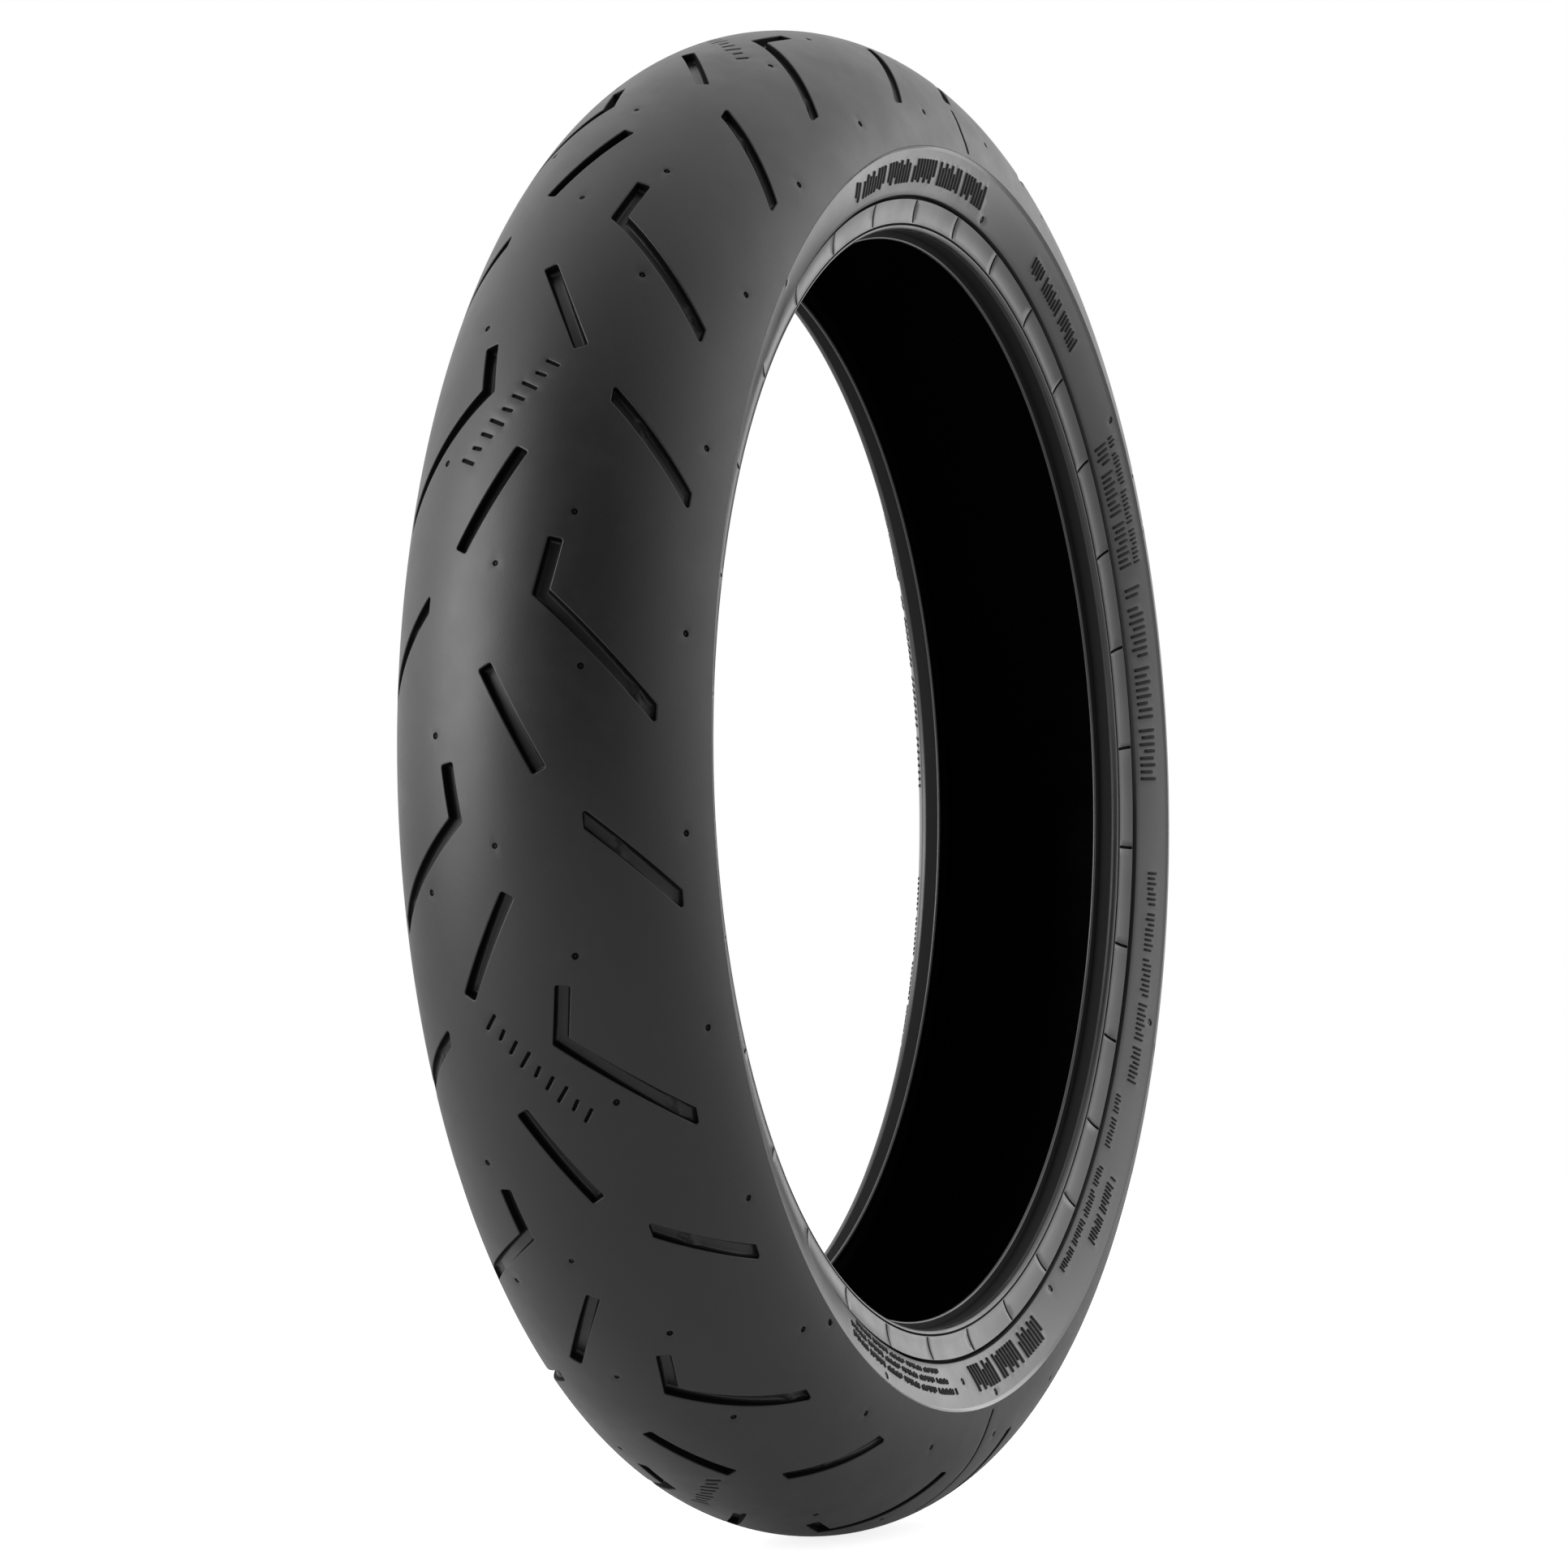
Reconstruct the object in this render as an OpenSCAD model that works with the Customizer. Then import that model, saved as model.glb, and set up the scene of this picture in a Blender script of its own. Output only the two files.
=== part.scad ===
// Front motorcycle tire, 120/70 size for a 17 inch wheel, built up layer by layer.
// Frame: origin at the tire's centre, axle along Y, +Z up. All sizes are in millimetres.
// Each cross-section is drawn with x as the radius and y as the distance from the
// centre plane, turned about the axle, and laid down so that the axle runs along Y.
// The right side of the tire faces -Y and the left side faces +Y.

/* [Tire size] */
// Outer diameter over the crown of the tread
outer_d = 600; // [598:1:602]
// Width across the tread edges, the widest place of the tire
section_w = 120; // [119:1:121]
// Height of the crown above the tread edge
crown_drop = 50; // [49:0.5:51]
// Diameter of the bead seats, which the wheel rim fills
seat_d = 436.6; // [436:0.1:437]

/* [Tread] */
// Number of times that the groove pattern repeats round the tire
pitch_count = 12; // [10:1:14]
// Width of a tread groove
groove_w = 5.2; // [4:0.1:6]
// Depth of the grooves at the crown
groove_depth = 4.2; // [3:0.1:4.4]
// Thickness of the tread cap at the crown
cap_t = 5.5; // [5.3:0.1:6]
// Thickness of the tread base under the cap
base_t = 1.2; // [1:0.1:1.4]

/* [Belt] */
// Diameter of the steel belt cord
cord_d = 0.8; // [0.6:0.1:1]
// Thickness of the rubber sheet on each side of the belt cord
skim_t = 0.6; // [0.6:0.05:0.7]
// Number of cord windings drawn on each side of the centre one
cord_side_count = 18; // [10:1:24]

/* [Carcass] */
// Thickness of each of the two carcass plies
ply_t = 0.7; // [0.6:0.05:0.8]
// Thickness of the rubber sheet between carcass and liner
tie_gum_t = 0.5; // [0.4:0.05:0.6]
// Thickness of the airtight inner liner
liner_t = 1.2; // [1:0.1:1.4]
// Bend radius of the carcass where the sidewall begins
turn_r = 18; // [16:1:20]

/* [Beads] */
// Diameter of the bead wire
wire_d = 0.85; // [0.7:0.05:0.88]
// Thickness of the tape around the bead wires
wrap_t = 0.25; // [0.2:0.05:0.3]
// Thickness of the chafer fabric around the bead
chafer_t = 0.5; // [0.4:0.05:0.6]
// Distance of the bead core from the centre plane
bead_y = 41.6; // [41.4:0.1:41.8]

/* [Hidden] */

$fn = 96;
ring_fn = 120;
wire_sides = 8;
deg_per_rad = 180 / PI;

// Crown: one arc across the tread, from tread edge to tread edge
outer_r = outer_d / 2;
edge_y = section_w / 2;
edge_r = outer_r - crown_drop;
crown_arc_r = (edge_y * edge_y + crown_drop * crown_drop) / (2 * crown_drop);
crown_mid_r = outer_r - crown_arc_r;

// Bead seat, heel and toe
seat_r = seat_d / 2;
heel_y = bead_y + 4.9;
heel_round = 2;
seat_end_y = bead_y - 3.1;
toe_r = seat_r - 3;
toe_y = bead_y - 5.1;
toe_tip_flat = 0.5;

// Outside of the sidewall: a step below the tread edge, a ring groove over the rim cushion
edge_step = 0.7;
ring_r = seat_r + 13.1;
ring_y = bead_y + 9.8;
ring_step = 0.8;
sidewall_bulge_r = 90;

// Reference line of the carcass: the inner face of the inner ply.
// It runs along the crown arc, bends into the sidewall, passes inside the bead core,
// goes round below it and comes up again on its outside.
stack_t = cap_t + base_t + 2 * skim_t + 2 * ply_t;
line_mid_r = 235.1;
line_arc_r = outer_r - stack_t - line_mid_r;
side_lean = 30;
side_angle = 90 + side_lean;
turnup_lean = 10;
turnup_angle = turnup_lean - 90;

core_r = 2.25;
wrap_r = core_r + wrap_t;
bead_line_r = wrap_r + 2 * ply_t;
bead_r = seat_r + 0.9 + chafer_t + bead_line_r;
bead_mid = [bead_r, bead_y];

// The bend touches the crown arc at turn_start and the straight sidewall line at side_angle
side_line = dir(side_angle) * bead_mid - bead_line_r;
turn_reach = side_line - turn_r - line_mid_r * cos(side_angle);
turn_start = side_angle - acos(turn_reach / (line_arc_r - turn_r));
turn_mid = [line_mid_r, 0] + (line_arc_r - turn_r) * dir(turn_start);

// Heights above the reference line, from the liner's inner face out to the tread base
liner_h = -tie_gum_t - liner_t;
ply_h = 2 * ply_t;
belt_mid_h = ply_h + skim_t;
belt_h = ply_h + 2 * skim_t;
base_h = belt_h + base_t;

// Steps along the reference line
crown_steps = 14;
turn_steps = 10;
bead_steps = 20;
belt_edge_step = 11;
belt_edge_angle = turn_start * belt_edge_step / crown_steps;
cord_angle = (belt_edge_angle - 1) / cord_side_count;
turnup_inner_len = 9.6;
turnup_outer_len = 13.0;
liner_end_r = bead_r - 0.7;

crown_line = [for (i = [0:crown_steps]) arc_station([line_mid_r, 0], line_arc_r, turn_start * i / crown_steps)];
turn_line = [
    for (i = [1:turn_steps])
        arc_station(turn_mid, turn_r, turn_start + (side_angle - turn_start) * i / turn_steps)
];
bead_line = [
    for (i = [0:bead_steps])
        arc_station(bead_mid, -bead_line_r, side_angle + (turnup_angle - side_angle) * i / bead_steps)
];
upper_line = concat(crown_line, turn_line);

// Bead filler: its two lower corners touch the wrapped core, its sides run along the plies
filler_in = bead_mid - wrap_r * dir(side_angle);
filler_out = bead_mid - wrap_r * dir(turnup_angle);
filler_side = dir(side_lean);
filler_gap = filler_out - filler_in;
filler_tip = filler_in + filler_side * cross(filler_gap, dir(turnup_lean)) / cross(filler_side, dir(turnup_lean));

// Groove pattern of one pitch on the right side. Angles are from the start of the pitch,
// distances are along the tread from the centre line. The left side is the mirror image,
// half a pitch further on.
pitch_angle = 360 / pitch_count;
hook_tip = [-12.5, 19.4];
hook_corner = [-8.7, 15.9];
hook_end = [-0.7, 58.6];
center_bar_a = [-3.8, -3.3];
center_bar_b = [3.2, 17];
shoulder_bar_a = [6.4, 31.3];
shoulder_bar_b = [12.9, 66.4];
floor_arc_r = outer_r - groove_depth - line_mid_r;
cut_below = 14;
cut_above = 8;

function dir(a) = [cos(a), sin(a)];
function arc_station(mid, r, a) = [mid + r * dir(a), a];
function at_height(s, h) = s[0] + h * dir(s[1]);
function mirrored(s) = [[s[0].x, -s[0].y], -s[1]];
function reverse(list) = [for (i = [len(list) - 1:-1:0]) list[i]];
function both_sides(line) = concat([for (i = [len(line) - 1:-1:1]) mirrored(line[i])], line);
function first(list, n) = [for (i = [0:n]) list[i]];

// Reference line of a ply, up to the end of its turn-up
function ply_line(turnup_len) =
    let (up = arc_station(bead_mid, -bead_line_r, turnup_angle))
    concat(upper_line, bead_line, [[up[0] + turnup_len * dir(turnup_lean), turnup_angle]]);

// Reference line of the liner, which stops short of the bead toe
function liner_line() =
    let (low = arc_station(bead_mid, -bead_line_r, 90))
    concat(upper_line, [
        for (i = [0:3])
            arc_station(bead_mid, -bead_line_r, side_angle - side_lean * i / 3)
    ], [[[liner_end_r, low[0].y], 90]]);

// Point of the tread surface, seen square on from the point at distance mid_v
function tread_point(p, mid_angle, mid_v) =
    let (
        t = p.y / crown_arc_r * deg_per_rad,
        m = mid_v / crown_arc_r * deg_per_rad,
        r = crown_mid_r + crown_arc_r * cos(t),
        h = crown_arc_r * sin(t),
        x = r * cos(p.x - mid_angle) - crown_mid_r
    )
    [x * sin(m) - h * cos(m), r * sin(p.x - mid_angle)];

function unit(v) = v / norm(v);
function left_of(v) = [-v.y, v.x];

// Outline of a bar with square ends
function bar_outline(a, b, w) =
    let (side = left_of(unit(b - a)) * w / 2)
    [a + side, b + side, b - side, a - side];

// Outline of a bar whose ends run round the tire
function slant_bar_outline(a, b, w) =
    let (side = [0, w / 2 / abs(unit(b - a).x)])
    [a + side, b + side, b - side, a - side];

// Outline of a hook: a short leg from tip to corner and a long leg on to the end
function hook_outline(tip, corner, end, w) =
    let (
        s1 = left_of(unit(corner - tip)) * w / 2,
        s2 = left_of(unit(end - corner)) * w / 2,
        mitre = unit(s1 + s2) * w / 2 / cos(acos(unit(s1) * unit(s2)) / 2),
        cut = [0, w / 2 / abs(unit(end - corner).x)]
    )
    [tip + s1, corner + mitre, end + cut * sign(s2.y), end - cut * sign(s2.y), corner - mitre, tip - s1];

// Turns a cross-section about the axle and lays the axle along Y
module turned() {
    rotate([90, 0, 0])
        rotate_extrude($fn = ring_fn)
            children();
}

// Right side as drawn, left side as its mirror image
module on_side(side) {
    mirror([0, side == "left" ? 1 : 0])
        children();
}

// Layer between two heights along a line of stations
module layer(line, low, high) {
    polygon(concat([for (s = line) at_height(s, low)], reverse([for (s = line) at_height(s, high)])));
}

// Everything inside a height, in to a straight line across the air chamber
module inside(line, h) {
    polygon([for (s = line) at_height(s, h)]);
}

module below_tread_edge() {
    translate([0, -section_w])
        square([edge_r, 2 * section_w]);
}

module core_section(r) {
    translate(bead_mid)
        circle(r);
}

// Bead filler: a wedge on the bead core, between the plies and their turn-up
module filler_section() {
    difference() {
        polygon([bead_mid, filler_in, filler_tip, filler_out]);
        core_section(wrap_r);
    }
}

module chafer_section() {
    start = [for (s = bead_line) if (s[1] < 72) s];
    up = arc_station(bead_mid, -bead_line_r, turnup_angle);
    layer(concat(start, [[up[0] + 6 * dir(turnup_lean), turnup_angle]]), -chafer_t, 0);
}

// What the sidewall and the rim cushion leave free for the layers inside them
module bead_package() {
    outer_ply_end = ply_line(turnup_outer_len)[len(ply_line(turnup_outer_len)) - 1];
    inside(concat(upper_line, [bead_line[0]]), ply_h);
    layer(ply_line(turnup_inner_len), 0, ply_t);
    polygon(concat(
        [for (s = bead_line) at_height(s, ply_t / 2)],
        [at_height(outer_ply_end, ply_t / 2), at_height(outer_ply_end, ply_t)],
        [at_height(outer_ply_end, ply_h), filler_tip]
    ));
    chafer_section();
}

module sidewall_section() {
    top = [edge_r, edge_y - edge_step];
    low = [ring_r, ring_y];
    half = norm(top - low) / 2;
    back = sqrt(sidewall_bulge_r * sidewall_bulge_r - half * half);
    lean = atan2(top.x - low.x, top.y - low.y);
    out = [-cos(lean), sin(lean)];
    mid = (top + low) / 2 - back * out;
    sweep = asin(half / sidewall_bulge_r);
    out_angle = atan2(out.y, out.x);
    face = [for (i = [0:8]) mid + sidewall_bulge_r * dir(out_angle - sweep + 2 * sweep * i / 8)];
    difference() {
        polygon(concat(face, [[ring_r, bead_y + 2.8], [edge_r, bead_y]]));
        bead_package();
    }
}

module rim_cushion_section() {
    lean = atan((ring_y - ring_step - heel_y) / (ring_r - seat_r));
    round_mid = [seat_r + heel_round, heel_y - heel_round * tan(45 - lean / 2)];
    heel = [for (i = [0:5]) round_mid + heel_round * dir(180 - (90 - lean) * i / 5)];
    difference() {
        polygon(concat(
            [[seat_r, seat_end_y]],
            heel,
            [[ring_r, ring_y - ring_step], [ring_r, bead_y + 2.8], bead_mid],
            [[liner_end_r, bead_y - bead_line_r + 0.1], [liner_end_r, bead_y - bead_line_r + liner_h]],
            [[toe_r + toe_tip_flat, toe_y], [toe_r, toe_y + toe_tip_flat]]
        ));
        bead_package();
        layer(liner_line(), liner_h, 0);
    }
}

// One groove: a straight-sided cut, square to the tread at the groove's middle
module groove_cut(mid_angle, mid_v, outline) {
    rotate([0, 0, mid_angle])
        translate([crown_mid_r, 0, 0])
            rotate([0, 90 - mid_v / crown_arc_r * deg_per_rad, 0])
                translate([0, 0, crown_arc_r - cut_below])
                    linear_extrude(cut_below + cut_above)
                        polygon(outline);
}

// Middle of a groove between two pattern points
function middle(a, b) = (a + b) / 2;

module pattern_cuts(start) {
    hook_mid = middle(hook_corner, hook_end);
    groove_cut(start + hook_mid.x, hook_mid.y, hook_outline(
        tread_point(hook_tip, hook_mid.x, hook_mid.y),
        tread_point(hook_corner, hook_mid.x, hook_mid.y),
        tread_point(hook_end, hook_mid.x, hook_mid.y), groove_w));
    center_mid = middle(center_bar_a, center_bar_b);
    groove_cut(start + center_mid.x, center_mid.y, bar_outline(
        tread_point(center_bar_a, center_mid.x, center_mid.y),
        tread_point(center_bar_b, center_mid.x, center_mid.y), groove_w));
    shoulder_mid = middle(shoulder_bar_a, shoulder_bar_b);
    groove_cut(start + shoulder_mid.x, shoulder_mid.y, slant_bar_outline(
        tread_point(shoulder_bar_a, shoulder_mid.x, shoulder_mid.y),
        tread_point(shoulder_bar_b, shoulder_mid.x, shoulder_mid.y), groove_w));
}

module tread_cap() {
    color("#2b2b2d")
        rotate([90, 0, 0])
            difference() {
                rotate_extrude($fn = ring_fn)
                    difference() {
                        translate([crown_mid_r, 0])
                            circle(crown_arc_r);
                        inside(both_sides(upper_line), base_h);
                        below_tread_edge();
                    }
                intersection() {
                    union() {
                        for (i = [0:pitch_count - 1]) {
                            pattern_cuts(i * pitch_angle);
                            mirror([0, 0, 1])
                                pattern_cuts((i + 0.5) * pitch_angle);
                        }
                    }
                    rotate_extrude($fn = ring_fn)
                        difference() {
                            translate([line_mid_r, 0])
                                circle(floor_arc_r + cut_above);
                            translate([line_mid_r, 0])
                                circle(floor_arc_r);
                            below_tread_edge();
                        }
                }
            }
}

module tread_layer(line, low, high) {
    turned()
        difference() {
            layer(line, low, high);
            below_tread_edge();
        }
}

module tread_base() {
    color("#1f1f20")
        tread_layer(both_sides(upper_line), belt_h, base_h);
}

module cord_circles() {
    for (i = [-cord_side_count:cord_side_count])
        translate([line_mid_r, 0] + (line_arc_r + belt_mid_h) * dir(i * cord_angle))
            circle(cord_d / 2, $fn = wire_sides);
}

module belt_skim_outer() {
    color("#3a3632")
        turned()
            difference() {
                layer(both_sides(first(crown_line, belt_edge_step)), belt_mid_h, belt_h);
                cord_circles();
            }
}

module belt_cord_windings() {
    color("#b08d57")
        turned()
            cord_circles();
}

module belt_skim_inner() {
    color("#3a3632")
        turned()
            difference() {
                layer(both_sides(first(crown_line, belt_edge_step)), ply_h, belt_mid_h);
                cord_circles();
            }
}

module belt_edge_cushion(side) {
    edge_line = [for (i = [belt_edge_step:len(upper_line) - 1]) upper_line[i]];
    color("#262626")
        turned()
            on_side(side)
                difference() {
                    layer(edge_line, ply_h, belt_h);
                    below_tread_edge();
                }
}

module carcass_ply_outer() {
    color("#8a7a5c")
        turned()
            layer(both_sides(ply_line(turnup_outer_len)), ply_t, ply_h);
}

module carcass_ply_inner() {
    color("#94835f")
        turned()
            layer(both_sides(ply_line(turnup_inner_len)), 0, ply_t);
}

module liner_tie_gum() {
    color("#302e2c")
        turned()
            layer(both_sides(liner_line()), -tie_gum_t, 0);
}

module inner_liner() {
    color("#141414")
        turned()
            layer(both_sides(liner_line()), liner_h, -tie_gum_t);
}

// Bead wires in rows of 3, 4, 5, 4 and 3
module bead_wires(side) {
    pitch = 0.9;
    color("#b5a06a")
        turned()
            on_side(side)
                translate(bead_mid)
                    for (row = [-2:2])
                        for (i = [0:4 - abs(row)])
                            translate([row * pitch * sin(60), (i - 2 + abs(row) / 2) * pitch])
                                circle(wire_d / 2, $fn = wire_sides);
}

// Tape around the bead wires, with its seam at the top under the filler
module bead_wrap(side) {
    seam = 0.4;
    color("#4a4036")
        turned()
            on_side(side)
                difference() {
                    core_section(wrap_r);
                    core_section(core_r);
                    translate(bead_mid + [0, -seam / 2])
                        square([2 * wrap_r, seam]);
                }
}

module bead_filler(side) {
    color("#232324")
        turned()
            on_side(side)
                filler_section();
}

module bead_chafer(side) {
    color("#5a5347")
        turned()
            on_side(side)
                chafer_section();
}

module rim_cushion(side) {
    color("#2e2e30")
        turned()
            on_side(side)
                rim_cushion_section();
}

module sidewall(side) {
    color("#2e2e30")
        turned()
            on_side(side)
                sidewall_section();
}

tread_cap();
tread_base();
belt_skim_outer();
belt_cord_windings();
belt_skim_inner();
belt_edge_cushion("left");  // belt_edge_cushion_left
belt_edge_cushion("right");  // belt_edge_cushion_right
carcass_ply_outer();
carcass_ply_inner();
liner_tie_gum();
inner_liner();
bead_wires("left");  // bead_wires_left
bead_wires("right");  // bead_wires_right
bead_wrap("left");  // bead_wrap_left
bead_wrap("right");  // bead_wrap_right
bead_filler("left");  // bead_filler_left
bead_filler("right");  // bead_filler_right
bead_chafer("left");  // bead_chafer_left
bead_chafer("right");  // bead_chafer_right
rim_cushion("left");  // rim_cushion_left
rim_cushion("right");  // rim_cushion_right
sidewall("left");  // sidewall_left
sidewall("right");  // sidewall_right
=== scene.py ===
import math
from math import atan2, cos, degrees, radians, sin, tan

import bpy
import bmesh
from mathutils import Matrix, Vector
from mathutils.geometry import delaunay_2d_cdt


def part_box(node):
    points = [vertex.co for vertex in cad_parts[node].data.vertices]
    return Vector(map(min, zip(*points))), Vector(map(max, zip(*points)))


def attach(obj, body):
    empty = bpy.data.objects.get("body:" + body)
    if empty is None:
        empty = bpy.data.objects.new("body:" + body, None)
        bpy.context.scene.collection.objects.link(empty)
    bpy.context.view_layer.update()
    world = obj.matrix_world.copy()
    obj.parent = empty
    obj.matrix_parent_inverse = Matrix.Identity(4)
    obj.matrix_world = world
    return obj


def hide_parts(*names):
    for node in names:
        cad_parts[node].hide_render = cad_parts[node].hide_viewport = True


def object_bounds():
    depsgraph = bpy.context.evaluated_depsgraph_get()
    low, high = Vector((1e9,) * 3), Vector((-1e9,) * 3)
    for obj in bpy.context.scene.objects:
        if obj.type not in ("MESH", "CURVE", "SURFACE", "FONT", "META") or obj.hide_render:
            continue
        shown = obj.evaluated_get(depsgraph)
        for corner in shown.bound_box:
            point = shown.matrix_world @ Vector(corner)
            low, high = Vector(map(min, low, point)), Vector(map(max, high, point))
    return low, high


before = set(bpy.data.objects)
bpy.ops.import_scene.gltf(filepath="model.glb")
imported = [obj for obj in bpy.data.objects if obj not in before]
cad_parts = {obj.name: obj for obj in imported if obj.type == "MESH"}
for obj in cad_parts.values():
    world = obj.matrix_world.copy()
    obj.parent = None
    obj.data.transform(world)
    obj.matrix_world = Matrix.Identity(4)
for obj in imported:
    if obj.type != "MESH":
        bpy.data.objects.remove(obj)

# Front motorcycle tire. Lengths here are in millimetres until a mesh is made; a point on
# the tire is (angle about the axle in degrees, radius, y). Sections are drawn for one side
# as (radius, distance outwards from the centre plane); the right side faces -Y.

MM = 0.001
# Points round a full ring, and the angle between them
SEGMENTS = 360
STEP = 360 / SEGMENTS
cad_low, cad_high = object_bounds()


# ---- sizes from the frame

def reach_of(node):
    """A node's outer radius and how far it reaches from the centre plane."""
    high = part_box(node)[1]
    return high.z / MM, high.y / MM


OUTER_R, EDGE_Y = reach_of("tread_cap")
EDGE_R, SIDE_Y = reach_of("sidewall_left")
RING_R, RING_Y = reach_of("rim_cushion_left")
CROWN_DROP = OUTER_R - EDGE_R
CROWN_R = (EDGE_Y ** 2 + CROWN_DROP ** 2) / (2 * CROWN_DROP)
CROWN_MID = OUTER_R - CROWN_R
EDGE_V = CROWN_R * math.acos((EDGE_R - CROWN_MID) / CROWN_R)

# As in part.scad: the bead seat, the wire bundle's middle, the reference line of the
# carcass, the thickness of the layers and the ends of the turned-up plies
SEAT_R = 218.3
BEAD = (223.6, 41.6)
BEAD_LINE_R = 3.9
WRAP_R = 2.5
SIDE_ANGLE, TURNUP_ANGLE, TURNUP_LEAN = 120, -80, 10
TURN_R = 18
LINE_MID, LINE_R = 235.1, 55.6
PLY, CHAFER, TIE_GUM, LINER = 0.7, 0.5, 0.5, 1.2
SKIM, TREAD_BASE = 0.6, 1.2
BASE_H = 2 * PLY + 2 * SKIM + TREAD_BASE
LINER_H = -TIE_GUM - LINER
TURNUP_INNER, TURNUP_OUTER, CHAFER_UP = 9.6, 13.0, 6.0
LINER_END_R, LINER_END_Y = BEAD[0] - 0.7, BEAD[1] - BEAD_LINE_R
TOE_R, TOE_Y = SEAT_R - 3, 36.5
HEEL_ROUND = 2
SEAT_END_Y = 38.5


def direction(a):
    return cos(radians(a)), sin(radians(a))


def station(mid, r, a):
    return (mid[0] + r * direction(a)[0], mid[1] + r * direction(a)[1], a)


def at_height(s, h):
    return s[0] + h * direction(s[2])[0], s[1] + h * direction(s[2])[1]


def blend_points(p, q, f):
    return p[0] + (q[0] - p[0]) * f, p[1] + (q[1] - p[1]) * f


def turn_geometry():
    """Where the crown's arc meets the sidewall's: the angle there and the second arc's middle."""
    c, s = direction(SIDE_ANGLE)
    side_line = c * BEAD[0] + s * BEAD[1] - BEAD_LINE_R
    reach = side_line - TURN_R - LINE_MID * c
    start = SIDE_ANGLE - degrees(math.acos(reach / (LINE_R - TURN_R)))
    mid = station((LINE_MID, 0), LINE_R - TURN_R, start)
    return start, (mid[0], mid[1])


TURN_START, TURN_MID = turn_geometry()


def upper_line(crown_steps, turn_steps):
    """Reference line of the carcass from the centre plane to the straight of the sidewall."""
    sweep = SIDE_ANGLE - TURN_START
    crown = [station((LINE_MID, 0), LINE_R, TURN_START * i / crown_steps)
             for i in range(crown_steps + 1)]
    turn = [station(TURN_MID, TURN_R, TURN_START + sweep * i / turn_steps)
            for i in range(1, turn_steps + 1)]
    return crown + turn


def bead_station(a):
    return station(BEAD, -BEAD_LINE_R, a)


TURNUP_FOOT, TURNUP_UP = bead_station(TURNUP_ANGLE), direction(TURNUP_LEAN)


def on_turnup(length, h):
    """A point of the turned-up plies: length up from the bead, at height h."""
    foot = (TURNUP_FOOT[0] + length * TURNUP_UP[0], TURNUP_FOOT[1] + length * TURNUP_UP[1])
    return at_height((*foot, TURNUP_ANGLE), h)


def where_radius(line, r):
    """The point of a polyline at that radius."""
    for p, q in zip(line, line[1:]):
        if (p[0] - r) * (q[0] - r) <= 0 and p[0] != q[0]:
            return blend_points(p, q, (r - p[0]) / (q[0] - p[0]))
    raise ValueError("the line doesn't reach that radius")


# ---- mesh building

# A seam's neighbours keep this share of a step away; the flood fill starts this far on
SEAM_GAP, SEED_TURN = 0.4, 5
CDT_LIMIT = 1e-7
# Edges that turn more than this stay sharp
SMOOTH_ANGLE = 50


def add_to_scene(name, data):
    obj = bpy.data.objects.new(name, data)
    bpy.context.scene.collection.objects.link(obj)
    return obj


class Arc:
    """An arc in the section, from p to q, bulging outwards by bulge (inwards if negative).
    place() gives the point at arc length v from p and height h above the surface."""

    def __init__(self, p, q, bulge):
        chord = math.hypot(q[0] - p[0], q[1] - p[1])
        self.sign = 1 if bulge > 0 else -1
        sag = abs(bulge)
        self.r = (chord * chord / 4 + sag * sag) / (2 * sag)
        n = ((q[1] - p[1]) / chord, -(q[0] - p[0]) / chord)
        if n[1] < 0:
            n = (-n[0], -n[1])
        mid = ((p[0] + q[0]) / 2, (p[1] + q[1]) / 2)
        back = (self.r - sag) * self.sign
        self.c = (mid[0] - n[0] * back, mid[1] - n[1] * back)
        self.a0 = atan2(p[1] - self.c[1], p[0] - self.c[0])
        a1 = atan2(q[1] - self.c[1], q[0] - self.c[0])
        self.turn = (a1 - self.a0 + math.pi) % (2 * math.pi) - math.pi
        self.length = self.r * abs(self.turn)

    def place(self, v, h):
        a = self.a0 + self.turn * v / self.length
        r = self.r + h * self.sign
        return self.c[0] + r * cos(a), self.c[1] + r * sin(a)


class Crown:
    """The tread surface: v runs from the left edge (negative) to the right edge."""

    def place(self, v, h):
        a = v / CROWN_R
        return CROWN_MID + (CROWN_R + h) * cos(a), -(CROWN_R + h) * sin(a)


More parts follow.
